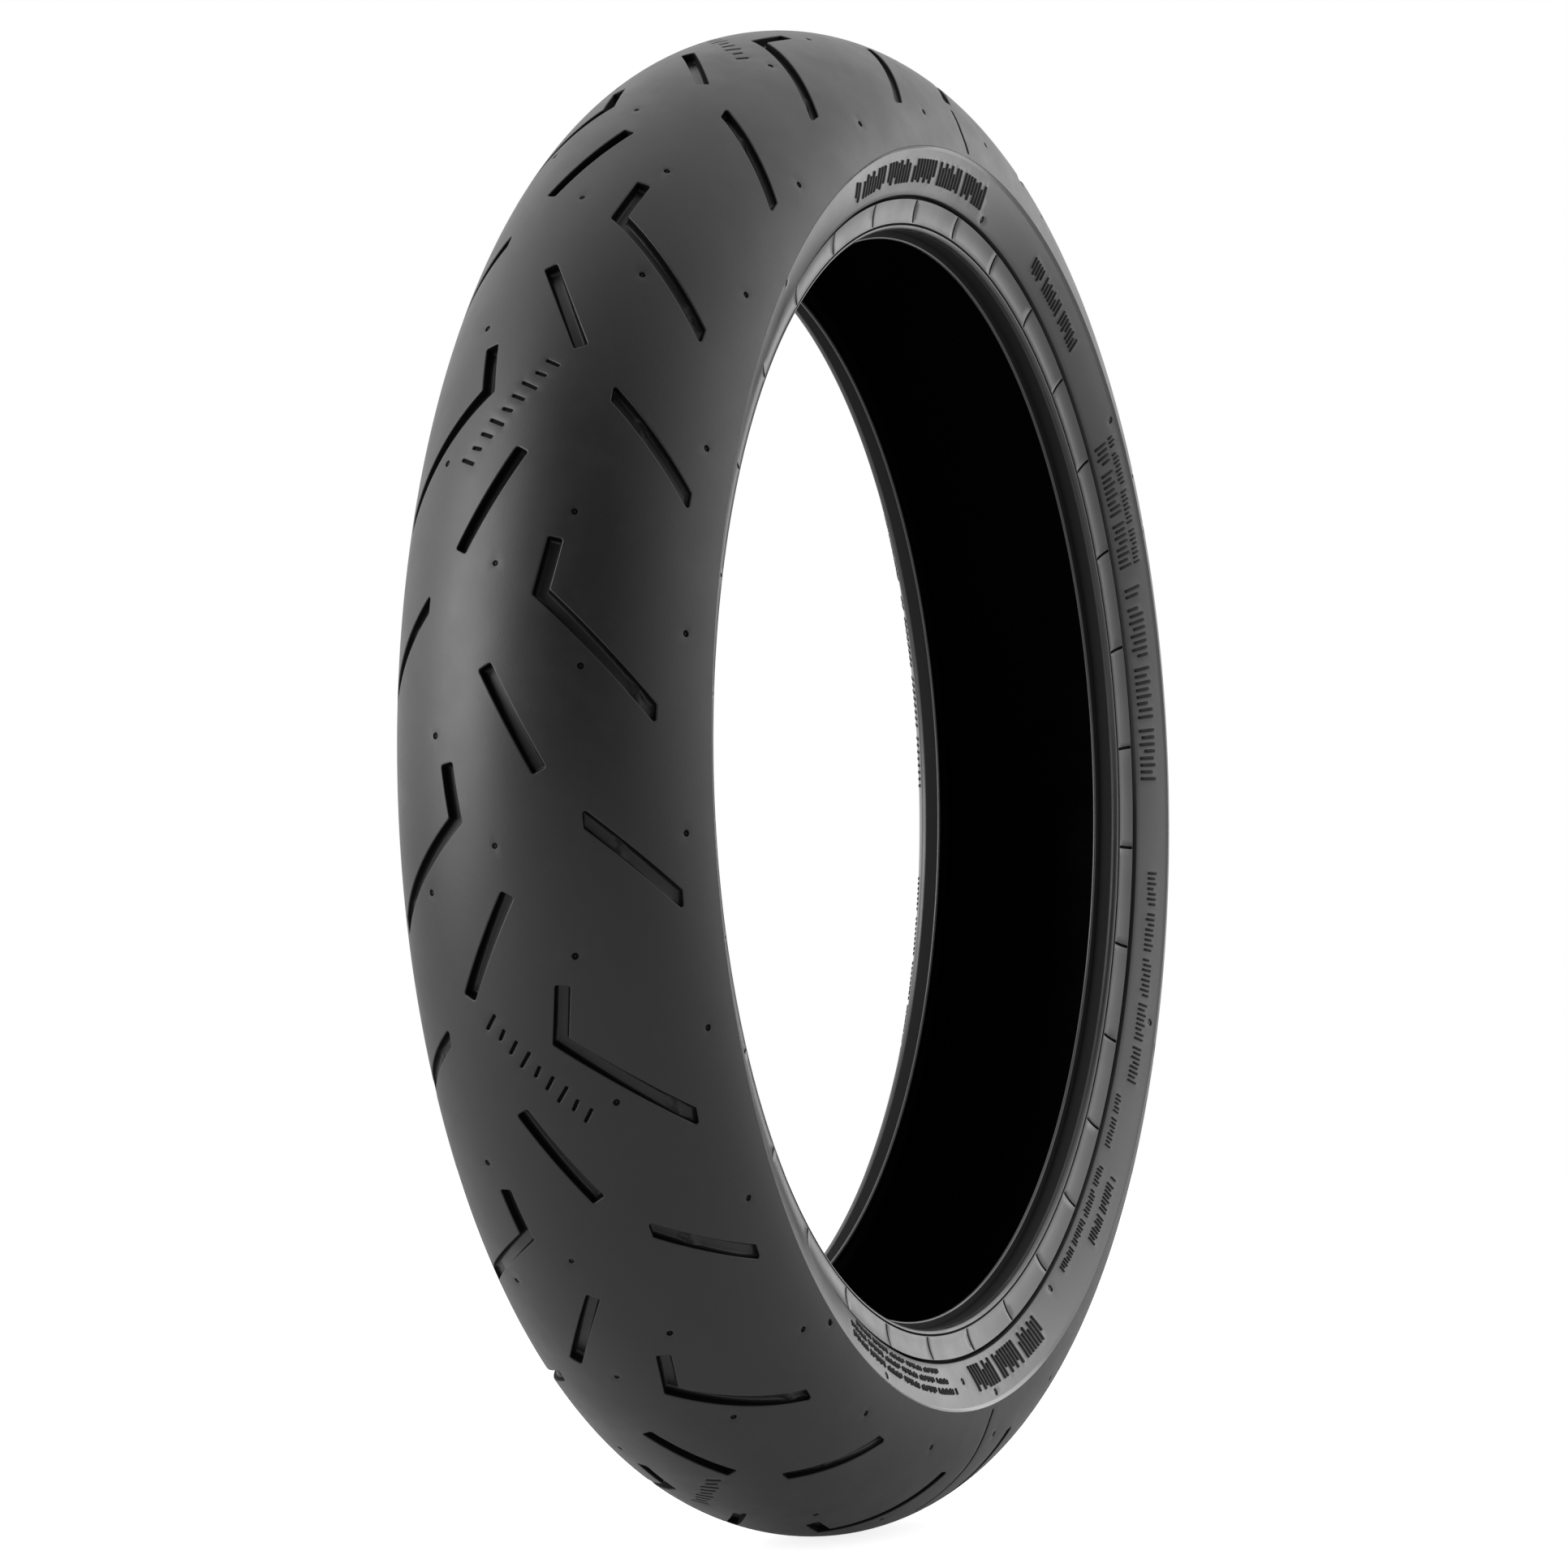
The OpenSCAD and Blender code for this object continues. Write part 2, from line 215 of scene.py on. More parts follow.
class Shell:
    """Vertices and faces of one piece. y_sign turns a section's outward distance into Y."""

    def __init__(self, y_sign=1):
        self.verts, self.faces, self.y_sign = [], [], y_sign

    def vert(self, phi, p):
        c, s = direction(phi)
        self.verts.append((p[0] * c * MM, p[1] * self.y_sign * MM, p[0] * s * MM))
        return len(self.verts) - 1

    def ring(self, p):
        return [self.vert(j * STEP, p) for j in range(SEGMENTS)]

    def strip(self, a, b):
        n = len(a)
        for j in range(n):
            k = (j + 1) % n
            self.faces.append((a[j], a[k], b[k], b[j]))

    def rings(self, points, first=None, last=None):
        """Rings through the points, joined up, from ring first and on to ring last."""
        before = first
        for p in points:
            now = self.ring(p)
            if before:
                self.strip(before, now)
            before = now
        if last:
            self.strip(before, last)
        return before

    def skin(self, arc, rows, seam, features, scale):
        """A surface between rows of equal v with features let into it. seam(v) is the
        angle of a line from row to row that no feature crosses. Returns its two edge rings."""
        points, index, edges = [], [], []

        def add(phi, v, same_as=None):
            points.append(Vector((phi * scale, v)))
            index.append(self.vert(phi, arc.place(v, 0)) if same_as is None else same_as)
            return len(points) - 1

        blocked = blocked_cells(features, scale)
        left, right, edge_rings, seed = [], [], [], None
        for i, v in enumerate(rows):
            start = seam(v)
            on_edge = i in (0, len(rows) - 1)
            row = [add(start, v)]
            first = math.floor(start / STEP) + 1
            for j in range(first, first + SEGMENTS):
                phi = j * STEP
                if phi < start + STEP * SEAM_GAP or phi > start + 360 - STEP * SEAM_GAP:
                    continue
                if not on_edge and is_blocked(phi, v, blocked, scale):
                    continue
                row.append(add(phi, v))
                if not on_edge and seed is None and phi > start + SEED_TURN:
                    seed = row[-1]
            row.append(add(start + 360, v, same_as=index[row[0]]))
            left.append(row[0])
            right.append(row[-1])
            if on_edge:
                edges += list(zip(row, row[1:]))
                shift = round(start / STEP) % SEGMENTS
                ring = [index[k] for k in row[:-1]]
                edge_rings.append(ring[-shift:] + ring[:-shift] if shift else ring)
        edges += list(zip(left, left[1:])) + list(zip(right, right[1:]))
        for feature in features:
            ring = [add(phi, v) for phi, v, h in feature["loops"][0]]
            edges += list(zip(ring, ring[1:] + ring[:1]))
            feature["first"] = [index[k] for k in ring]
        out = delaunay_2d_cdt(points, edges, [], 0, CDT_LIMIT)
        source = []
        for ids in out[3]:
            if not ids:
                at = out[0][len(source)]
                raise ValueError(f"two outlines cross at {at.x / scale:.1f}, {at.y:.1f}")
            source.append(ids[0])
        triangles = [tuple(source[k] for k in tri) for tri in out[2]]
        for tri in reached(triangles, edges, seed):
            self.faces.append(tuple(index[k] for k in tri))
        for feature in features:
            self.fill(arc, feature)
        return edge_rings

    def fill(self, arc, feature):
        """The walls and the floor of one feature."""
        before = feature["first"]
        for loop in feature["loops"][1:]:
            now = [self.vert(phi, arc.place(v, h)) for phi, v, h in loop]
            self.strip(before, now)
            before = now
        for tri in feature["floor"]:
            self.faces.append(tuple(before[k] for k in tri))

    def build(self, name, node, material):
        mesh = bpy.data.meshes.new(name)
        mesh.from_pydata(self.verts, [], self.faces)
        bm = bmesh.new()
        bm.from_mesh(mesh)
        loose = [v for v in bm.verts if not v.link_faces]
        bmesh.ops.delete(bm, geom=loose, context="VERTS")
        bmesh.ops.recalc_face_normals(bm, faces=bm.faces)
        limit = radians(SMOOTH_ANGLE)
        for e in bm.edges:
            e.smooth = len(e.link_faces) == 2 and e.calc_face_angle(0) < limit
        bm.to_mesh(mesh)
        bm.free()
        mesh.polygons.foreach_set("use_smooth", [True] * len(mesh.polygons))
        mesh.materials.append(material)
        obj = add_to_scene(name, mesh)
        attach(obj, "root")
        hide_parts(node)
        return obj


def reached(triangles, walls, start):
    """The triangles that can be reached from point start without crossing a wall."""
    walls = {frozenset(e) for e in walls}
    across = {}
    for t, tri in enumerate(triangles):
        for e in zip(tri, tri[1:] + tri[:1]):
            across.setdefault(frozenset(e), []).append(t)
    todo = [t for t, tri in enumerate(triangles) if start in tri]
    seen = set(todo)
    while todo:
        tri = triangles[todo.pop()]
        for e in zip(tri, tri[1:] + tri[:1]):
            key = frozenset(e)
            if key in walls:
                continue
            for t in across[key]:
                if t not in seen:
                    seen.add(t)
                    todo.append(t)
    return [triangles[t] for t in sorted(seen)]


def is_inside(phi, v, loop):
    inside = False
    for a, b in zip(loop, loop[1:] + loop[:1]):
        if (a[1] > v) != (b[1] > v) and phi < a[0] + (b[0] - a[0]) * (v - a[1]) / (b[1] - a[1]):
            inside = not inside
    return inside


# Points of the plain surface keep this far from every outline
CLEARANCE = 0.9


def blocked_cells(features, scale):
    """For each whole degree, the outlines that reach near it."""
    cells = {}
    for feature in features:
        loop = feature["loops"][0]
        lo = min(p[0] for p in loop) - CLEARANCE / scale
        hi = max(p[0] for p in loop) + CLEARANCE / scale
        box = (lo, hi, min(p[1] for p in loop) - CLEARANCE, max(p[1] for p in loop) + CLEARANCE)
        for cell in range(math.floor(lo), math.floor(hi) + 1):
            cells.setdefault(cell, []).append((box, loop))
    return cells


def is_blocked(phi, v, cells, scale):
    """True on a feature or too near its outline."""
    for box, loop in cells.get(math.floor(phi), ()):
        if not (box[0] < phi < box[1] and box[2] < v < box[3]):
            continue
        if is_inside(phi, v, loop):
            return True
        p = Vector((phi * scale, v))
        for a, b in zip(loop, loop[1:] + loop[:1]):
            a, b = Vector((a[0] * scale, a[1])), Vector((b[0] * scale, b[1]))
            d = b - a
            t = min(1, max(0, (p - a).dot(d) / max(d.length_squared, 1e-9)))
            if (p - a - d * t).length < CLEARANCE:
                return True
    return False


# ---- outlines and features

# A corner's rounding takes at most this share of its edges; the least turn that is rounded
CORNER_SHARE, LEAST_TURN = 0.45, 1e-4
LEAST_CORNER_R = 0.12


def inset(corners, d):
    """The polygon moved inwards by d, corners kept sharp. The corners run anticlockwise."""
    out = []
    n = len(corners)
    for i in range(n):
        p, q, r = corners[i - 1], corners[i], corners[(i + 1) % n]
        e1, e2 = (q - p).normalized(), (r - q).normalized()
        m = e1.orthogonal() + e2.orthogonal()
        out.append(q + m * (d * 2 / m.length_squared))
    return out


def rounded(corners, radius, edge_counts, arc_steps):
    """A closed outline with its corners rounded, with the same number of points each time."""
    n = len(corners)
    sides = [q - p for p, q in zip(corners, corners[1:] + corners[:1])]
    bends = []
    for before, after in zip(sides[-1:] + sides[:-1], sides):
        turn = atan2(before.cross(after), before.dot(after))
        turn = math.copysign(max(abs(turn), LEAST_TURN), turn)
        tangent = tan(abs(turn) / 2)
        reach = min(radius * tangent, before.length * CORNER_SHARE, after.length * CORNER_SHARE)
        bends.append((turn, reach, math.copysign(reach / tangent, turn)))
    out = []
    for i, (turn, reach, round_r) in enumerate(bends):
        e1, e2 = sides[i - 1].normalized(), sides[i].normalized()
        arm = e1.orthogonal() * -round_r
        centre = corners[i] - e1 * reach - arm
        for k in range(arc_steps + 1):
            c, s = direction(degrees(turn * k / arc_steps))
            out.append(centre + Vector((arm.x * c - arm.y * s, arm.x * s + arm.y * c)))
        a, b = corners[i] + e2 * reach, corners[(i + 1) % n] - e2 * bends[(i + 1) % n][1]
        out += [a + (b - a) * (k / edge_counts[i]) for k in range(1, edge_counts[i])]
    return out


def floor_triangles(loop):
    """Triangles that fill an outline, as indices into it."""
    n = len(loop)
    out = delaunay_2d_cdt([Vector(p) for p in loop], [(k, (k + 1) % n) for k in range(n)], [], 1, CDT_LIMIT)
    return [tuple(out[3][k][0] for k in tri) for tri in out[2]]


def anticlockwise(corners):
    area = sum(a.cross(b) for a, b in zip(corners, corners[1:] + corners[:1]))
    return corners if area > 0 else corners[::-1]


def own_height(key, v):
    return key


def shaped(corners, profile, to_surface, height, corner_r, step, arc_steps):
    """Loops of a cut or raised shape. profile is a list of (inset, key); height(key, v)
    gives the height of that loop, and to_surface turns plane points into (angle, v)."""
    corners = anticlockwise(corners)
    sides = zip(corners, corners[1:] + corners[:1])
    counts = [max(1, round((b - a).length / step)) for a, b in sides]
    loops, flat = [], None
    for d, key in profile:
        radius = max(LEAST_CORNER_R, corner_r - d)
        flat = rounded(inset(corners, d), radius, counts, arc_steps)
        loops.append([(phi, v, height(key, v)) for phi, v in map(to_surface, flat)])
    return {"loops": loops, "floor": floor_triangles([tuple(p) for p in flat])}


def moved(feature, turn, mirror):
    """The same feature further round the tire, or mirrored to the other side."""
    m = -1 if mirror else 1
    return {"loops": [[(phi + turn, v * m, h) for phi, v, h in loop] for loop in feature["loops"]],
            "floor": feature["floor"]}


# A vent mark: a small recessed disc with a stub left in the middle, as (radius, height)
VENT_PROFILE = ((1.5, 0), (1.25, -0.05), (1.05, -0.5), (0.45, -0.5), (0.3, -0.32))
VENT_POINTS = 10


def circle(r):
    turns = [2 * math.pi * k / VENT_POINTS for k in range(VENT_POINTS)]
    return [(r * cos(a), r * sin(a)) for a in turns]


def vent(surface, phi, v, size):
    """A vent mark on the tread or on a side surface."""
    r0 = surface.place(v, 0)[0]
    loops = [[(phi + degrees(a * size / r0), v + b * size, h * size) for a, b in circle(r)]
             for r, h in VENT_PROFILE]
    return {"loops": loops, "floor": floor_triangles(circle(1))}


def wrap_features(features, seam):
    """Moves each feature by whole turns until it lies in the turn that starts at the seam."""
    out = []
    for f in features:
        loop = f["loops"][0]
        v = sum(p[1] for p in loop) / len(loop)
        turns = math.floor((min(p[0] for p in loop) - seam(v)) / 360)
        out.append(moved(f, -360 * turns, False))
    return out


def even_rows(start, stop, count):
    return [start + (stop - start) * i / count for i in range(count + 1)]


# ---- tread

PITCHES = 12
PITCH = 360 / PITCHES
HALF_PITCH = PITCH / 2
GROOVE_W = 5.2
# The grooves' floor, about the carcass line's middle
GROOVE_FLOOR_R = 60.7
# Radius of the corners, longest step along an edge, and steps round a corner
GROOVE_STEPS = (0.9, 1.8, 3)
# Middle lines of the three kinds of groove, as (angle, v), and from where to where along v
# a wear bar crosses them
HOOK, HOOK_WEAR = ((-12.5, 19.4), (-8.7, 15.9), (-0.7, 58.6)), (50.5, 53.5)
CENTER_BAR, NO_WEAR = ((-3.8, -3.3), (3.2, 17)), (900, 901)
SHOULDER_BAR, SHOULDER_WEAR = ((6.4, 31.3), (12.9, 66.4)), (42.5, 45.5)
WEAR_BAR_RISE, WEAR_SLOPE = 1.1, 0.9
# Millimetres per degree, for the tread's plane and for marks on its middle
TREAD_SCALE, MARK_SCALE = 5.0, 5.1
NEWTON_START_R, NEWTON_STEPS = 280, 8
# Loops of a groove: how far in from its edge, share of the full depth, and depth added
GROOVE_PROFILE = (
    (-0.62, (0, 0)), (-0.36, (0, 0)), (-0.14, (0, 0.05)), (0.0, (0, 0.22)), (0.07, (0, 0.5)),
    (0.38, (1, -0.8)), (0.58, (1, -0.32)), (0.95, (1, -0.04)), (1.35, (1, 0)),
)


def groove_depth(v):
    """Full depth at v: from the tread surface down to the floor's circle."""
    c = cos(v / CROWN_R)
    gap = CROWN_MID - LINE_MID
    return CROWN_R - (math.sqrt(GROOVE_FLOOR_R ** 2 - gap * gap * (1 - c * c)) - gap * c)


def to_plane(p, mid):
    """A point of the tread, seen square on from the point mid."""
    t, m = p[1] / CROWN_R, mid[1] / CROWN_R
    r = CROWN_MID + CROWN_R * cos(t)
    d = radians(p[0] - mid[0])
    x = r * cos(d) - CROWN_MID
    return Vector((x * sin(m) - CROWN_R * sin(t) * cos(m), r * sin(d)))


def from_plane(mid):
    """The way back from to_plane, by Newton's method."""
    m = mid[1] / CROWN_R

    def solve(p):
        t, d = m - p[0] / CROWN_R, p[1] / NEWTON_START_R
        for _ in range(NEWTON_STEPS):
            r, dr = CROWN_MID + CROWN_R * cos(t), -CROWN_R * sin(t)
            f = (r * cos(d) - CROWN_MID) * sin(m) - CROWN_R * sin(t) * cos(m) - p[0]
            g = r * sin(d) - p[1]
            ft = dr * cos(d) * sin(m) - CROWN_R * cos(t) * cos(m)
            fd = -r * sin(d) * sin(m)
            gt, gd = dr * sin(d), r * cos(d)
            det = ft * gd - fd * gt
            t -= (f * gd - fd * g) / det
            d -= (ft * g - f * gt) / det
        return mid[0] + degrees(d), t * CROWN_R

    return solve


def slanted_end(along):
    """Half of an end that runs round the tire."""
    return Vector((0, GROOVE_W / 2 / abs(along.x)))


def groove(points, square_ends, wear):
    """A groove with two or three points on its middle line."""
    mid = blend_points(points[-2], points[-1], 0.5)
    q = [to_plane(p, mid) for p in points]
    along = [(b - a).normalized() for a, b in zip(q, q[1:])]
    side = [d.orthogonal() * GROOVE_W / 2 for d in along]
    if len(q) == 2:
        s = side[0] if square_ends else slanted_end(along[0])
        corners = [q[0] + s, q[1] + s, q[1] - s, q[0] - s]
    else:
        m = (side[0] + side[1]).normalized()
        m *= GROOVE_W / 2 / m.dot(side[0].normalized())
        e = slanted_end(along[1]) * (1 if side[1].y > 0 else -1)
        corners = [q[0] + side[0], q[1] + m, q[2] + e, q[2] - e, q[1] - m, q[0] - side[0]]

    def height(key, v):
        share, extra = key
        full = groove_depth(v)
        rise = max(0, WEAR_SLOPE * (v - wear[0]) + 0.5)
        fall = max(0, WEAR_SLOPE * (wear[1] - v) + 0.5)
        return -min(share * full + extra, full - WEAR_BAR_RISE * min(1, rise, fall))

    return shaped(corners, GROOVE_PROFILE, from_plane(mid), height, *GROOVE_STEPS)


# Vent marks of one pitch as (angle, v), and their sizes
VENTS_RIGHT, VENT_SIZE = ((8, 70), (23, 70), (10.3, 43), (26.2, 31), (15.6, 25)), 1.05
VENTS_CENTER, VENT_SIZE_CENTER = ((8, 0), (19.3, -1.5), (25.2, -1.5)), 0.9
# Least distance from a vent mark to any other outline
VENT_GAP = 4

# Where the mould's segments meet: a fine line over each shoulder
PARTING_LONG = (-85, -25, 35)
PARTING_SHORT = (89.5, 29.5)
PARTING_WIDTH = 2.0
PARTING_PROFILE = ((-0.3, 0), (-0.12, -0.03), (0.08, -0.3), (0.34, -0.8))
LONG_PATH = ((0.9, 82.8), (0.4, 77), (0.05, 69), (-0.3, 60), (-0.9, 54), (-2.0, 44), (-3.2, 34))
SHORT_PATH = ((0, 82.8), (0.3, 74), (0.1, 66), (0, 62.5))
# One short notch of the mould at the tread's edge: place, half length in degrees and width
NOTCH, NOTCH_HALF, NOTCH_WIDTH = (-124.3, 81.6), 0.35, 2.2
# Rows of plain dashes, in the places where tread marks are usual: first and last place
MARK_PROFILE = ((-0.3, 0), (-0.12, -0.04), (0.03, -0.3), (0.3, -0.8))
TREAD_MARKS = (
    ((162.1, -21), (154.2, 10)), ((-160.6, -11), (-152.8, 22.5)), ((109.4, -11), (117.1, 22)),
    ((-111, -9), (-116.5, 9)), ((34, 9), (27.5, -12)), ((-49.5, 11), (-56.5, -12)),
)
MARK_COUNT, MARK_WIDTH, MARK_LEAN = 9, 1.35, 0.7
MARK_HALF_LENGTHS = (3.4, 2.2, 2.8)


def cut_path(line, mid, width, profile, step=4, arc_steps=1):
    """A narrow cut along a line of surface points, seen square on from the point mid."""
    q = [to_plane(p, mid) for p in line]
    left, right = [], []
    for k, p in enumerate(q):
        d = (q[min(k + 1, len(q) - 1)] - q[max(k - 1, 0)]).normalized()
        side = d.orthogonal() * width / 2
        left.append(p + side)
        right.append(p - side)
    return shaped(left + right[::-1], profile, from_plane(mid), own_height, width * 0.3, step, arc_steps)


def stroke(a, b, width, profile):
    """A straight cut between two surface points."""
    return cut_path((a, b), blend_points(a, b, 0.5), width, profile, 2, 2)


def tread_marks(start, end):
    """Short slanted dashes of unequal length along a line."""
    out = []
    first = Vector((start[0] * MARK_SCALE, start[1]))
    line = Vector((end[0] * MARK_SCALE, end[1])) - first
    along = line.normalized()
    across = along.orthogonal()
    for k in range(MARK_COUNT):
        mid = first + line * ((k + 0.5) / MARK_COUNT)
        arm = across * MARK_HALF_LENGTHS[k % 3] - along * MARK_LEAN
        p, q = mid + arm, mid - arm
        out.append(stroke((p.x / MARK_SCALE, p.y), (q.x / MARK_SCALE, q.y), MARK_WIDTH, MARK_PROFILE))
    return out


def tread_features():
    """Every cut of the tread. The left side is the right side's mirror, half a pitch on."""
    kinds = [groove(HOOK, False, HOOK_WEAR), groove(CENTER_BAR, True, NO_WEAR),
             groove(SHOULDER_BAR, False, SHOULDER_WEAR)]
    out = []
    for i in range(PITCHES):
        for kind in kinds:
            out.append(moved(kind, i * PITCH, False))
            out.append(moved(kind, i * PITCH + HALF_PITCH, True))
    for start, end in TREAD_MARKS:
        out += tread_marks(start, end)
    for places, path in ((PARTING_LONG, LONG_PATH), (PARTING_SHORT, SHORT_PATH)):
        for phi in places:
            line = [(phi + p[0], p[1]) for p in path]
            cut = cut_path(line, line[len(line) // 2], PARTING_WIDTH, PARTING_PROFILE)
            out += [cut, moved(cut, HALF_PITCH, True)]
    phi, v = NOTCH
    out.append(stroke((phi - NOTCH_HALF, v), (phi + NOTCH_HALF, v), NOTCH_WIDTH, PARTING_PROFILE))
    crown, vents = Crown(), []
    for i in range(PITCHES):
        for phi, v in VENTS_RIGHT:
            vents.append(vent(crown, i * PITCH + phi, v, VENT_SIZE))
            vents.append(vent(crown, i * PITCH + HALF_PITCH + phi, -v, VENT_SIZE))
        for phi, v in VENTS_CENTER:
            vents.append(vent(crown, i * PITCH + phi, v, VENT_SIZE_CENTER))
    return out + [v for v in vents if is_clear(v, out)]


def is_clear(feature, others):
    """True if the feature's first point stands well away from every other outline."""
    phi, v = feature["loops"][0][0][:2]
    for other in others:
        for p in other["loops"][0]:
            turn = (p[0] - phi + 180) % 360 - 180
            if abs(turn) * TREAD_SCALE < VENT_GAP and abs(p[1] - v) < VENT_GAP:
                return False
    return True


# The tread's seam between the features, as (v, angle)
SEAM = (
    (-90, 3), (-60, 3), (-45, 1), (-33, -2), (-25, -2.5), (-18, -1), (-10, 0), (5, 5), (20, 5),
    (26, 3), (90, 3),
)
TREAD_ROWS, TREAD_LIP = 62, 0.5


def interpolated(path, v):
    """The second value of a list of pairs, at v."""
    for (v0, a0), (v1, a1) in zip(path, path[1:]):
        if v0 <= v <= v1:
            return a0 + (a1 - a0) * ((v - v0) / (v1 - v0))
    return path[0][1]


def side_seam(v):
    """The straight seam of the side rings, where they carry no feature."""
    return 1


def make_tread(material):
    shell = Shell()
    rows = even_rows(TREAD_LIP - EDGE_V, EDGE_V - TREAD_LIP, TREAD_ROWS)
    corners = [(v, interpolated(SEAM, v)) for v in rows]

    def seam(v):
        """The seam as straight lines between rows, so that it matches the mesh's edges."""
        return interpolated(corners, v)

    features = wrap_features(tread_features(), seam)
    left, right = shell.skin(Crown(), rows, seam, features, TREAD_SCALE)
    base = [at_height(s, BASE_H) for s in upper_line(10, 6)]
    cut = where_radius(base, EDGE_R)
    inner = [p for p in base if p[0] > EDGE_R] + [cut]
    edge = [(EDGE_R + 0.12, EDGE_Y - 0.02), (EDGE_R, EDGE_Y - 0.18), (EDGE_R, EDGE_Y - 1.2)]
    half = edge + inner[::-1]
    shell.rings([(r, -y) for r, y in half] + inner[1:] + edge[::-1], right, left)
    return shell.build("tread_band", "tread_cap", material)


# ---- sidewalls

SIDE_SCALE, SIDE_ROWS = 4.2, 9
SIDE_TOP = (EDGE_R, SIDE_Y)
SIDE_LOW = (RING_R, RING_Y + 0.8)
SIDE_ARC_R = 90
# Where the plain band starts, below the edge, and how far above the ring groove it ends
BAND_TOP, BAND_END = (EDGE_R - 1.45, SIDE_Y - 0.38), 0.35


def arc_bulge(p, q, r):
    """The bulge of an arc of radius r between two points."""
    half = math.hypot(q[0] - p[0], q[1] - p[1]) / 2
    return r - math.sqrt(r * r - half * half)


def bar_on(arc, phi, v0, v1, width, lean, profile):
    """A short bar across the sidewall; lean is how far its outer end is ahead, in mm."""
    mid_v = (v0 + v1) / 2
    r = arc.place(mid_v, 0)[0]
    half, rise = width / 2, (v1 - v0) / 2
    shift = lean / 2
    corners = [Vector(c) for c in (
        (-half + shift, -rise), (half + shift, -rise), (half - shift, rise), (-half - shift, rise))]
    return shaped(corners, profile, lambda p: (phi + degrees(p[0] / r), mid_v + p[1]), own_height,
                  width * 0.25, 2.2, 1)


RAISED_PROFILE = ((-0.3, 0), (-0.12, 0.03), (0.0, 0.4), (0.14, 0.5))
# Groups of plain raised bars: first and last angle, from and to along the sidewall, bar
# width, pitch in mm, lean in mm
SIDE_GROUPS = (
    (83, 117, 3.6, 13.2, 1.5, 3, 2.2), (54.5, 68.5, 6, 12.6, 1.1, 2.5, 1),
    (27, 42, 3.2, 7, 0.8, 2.1, 0), (27, 42, 9, 16.4, 1.2, 2.7, 0),
    (3.5, 25, 6, 15.6, 1.3, 3, 0), (-30, -6, 5.6, 11, 1, 2.3, 0.6),
    (-39, -32, 12.6, 15.8, 0.7, 2, 0), (-58, -41.5, 13.2, 16.4, 0.7, 2, 0),
    (-51, -41.5, 4.4, 9, 0.8, 2.1, 0), (-86.5, -66.5, 4.8, 16, 1.5, 3, 2.4),
    (-118, -91.5, 5.6, 8.2, 0.8, 2, 0), (-118, -93, 10, 12.4, 0.8, 2, 0),
    (-116, -94, 14.2, 16.4, 0.8, 2, 0),
)
# Shares by which one bar after the other is shorter, and after how many one is left out
BAR_CUTS = (0.0, 0.22, 0.0, 0.1, 0.3, 0.0, 0.16)
BAR_GAP = 9
SIDE_VENT_SIZE = 1.3
SIDE_VENTS = ((-22.2, 2.3), (-82.5, 2.2), (43.4, 2.2), (81.5, 15.4), (-89.2, 10.5), (-61.6, 15.4),
              (137, 2.2), (197, 2.3), (250, 2.3))


def side_features(arc):
    out = []
    for a0, a1, v0, v1, width, pitch, lean in SIDE_GROUPS:
        r = arc.place((v0 + v1) / 2, 0)[0]
        count = int(radians(a1 - a0) * r / pitch)
        for k in range(count):
            if k % BAR_GAP == BAR_GAP - 1:
                continue
            cut = BAR_CUTS[k % len(BAR_CUTS)] * (v1 - v0)
            low = v0 + (cut if k % 2 else 0)
            high = v1 - (0 if k % 2 else cut)
            share = (high - low) / (v1 - v0)
            shift = -lean * ((low + high) - (v0 + v1)) / 2 / (v1 - v0)
            phi = a0 + (a1 - a0) * (k + 0.5) / count + degrees(shift / r)
            out.append(bar_on(arc, phi, low, high, width, lean * share, RAISED_PROFILE))
    return out + [vent(arc, phi, v, SIDE_VENT_SIZE) for phi, v in SIDE_VENTS]


def side_arc():
    """The band of the sidewall, from the step at the tread's edge down to the rim cushion."""
    whole = Arc(SIDE_TOP, SIDE_LOW, arc_bulge(SIDE_TOP, SIDE_LOW, SIDE_ARC_R))
    end = whole.place(whole.length - BAND_END, 0)
    return Arc(BAND_TOP, end, arc_bulge(BAND_TOP, end, SIDE_ARC_R))


def filler_tip():
    """Where the two faces of the bead filler meet."""
    inner, outer = [(BEAD[0] - WRAP_R * direction(a)[0], BEAD[1] - WRAP_R * direction(a)[1])
                    for a in (SIDE_ANGLE, TURNUP_ANGLE)]
    along, up = direction(SIDE_ANGLE - 90), TURNUP_UP
    gap = (outer[0] - inner[0], outer[1] - inner[1])
    reach = (gap[0] * up[1] - gap[1] * up[0]) / (along[0] * up[1] - along[1] * up[0])
    return inner[0] + along[0] * reach, inner[1] + along[1] * reach


def side_shell(side):
    return Shell(1 if side == "left" else -1)


# The sunk step and the polished edge at the tread, below (EDGE_R, EDGE_Y)
STEP_PATH = ((0.02, 0.07), (0.1, 0.14), (0.28, 0.28), (1.0, 0.86), (1.22, 1.0))


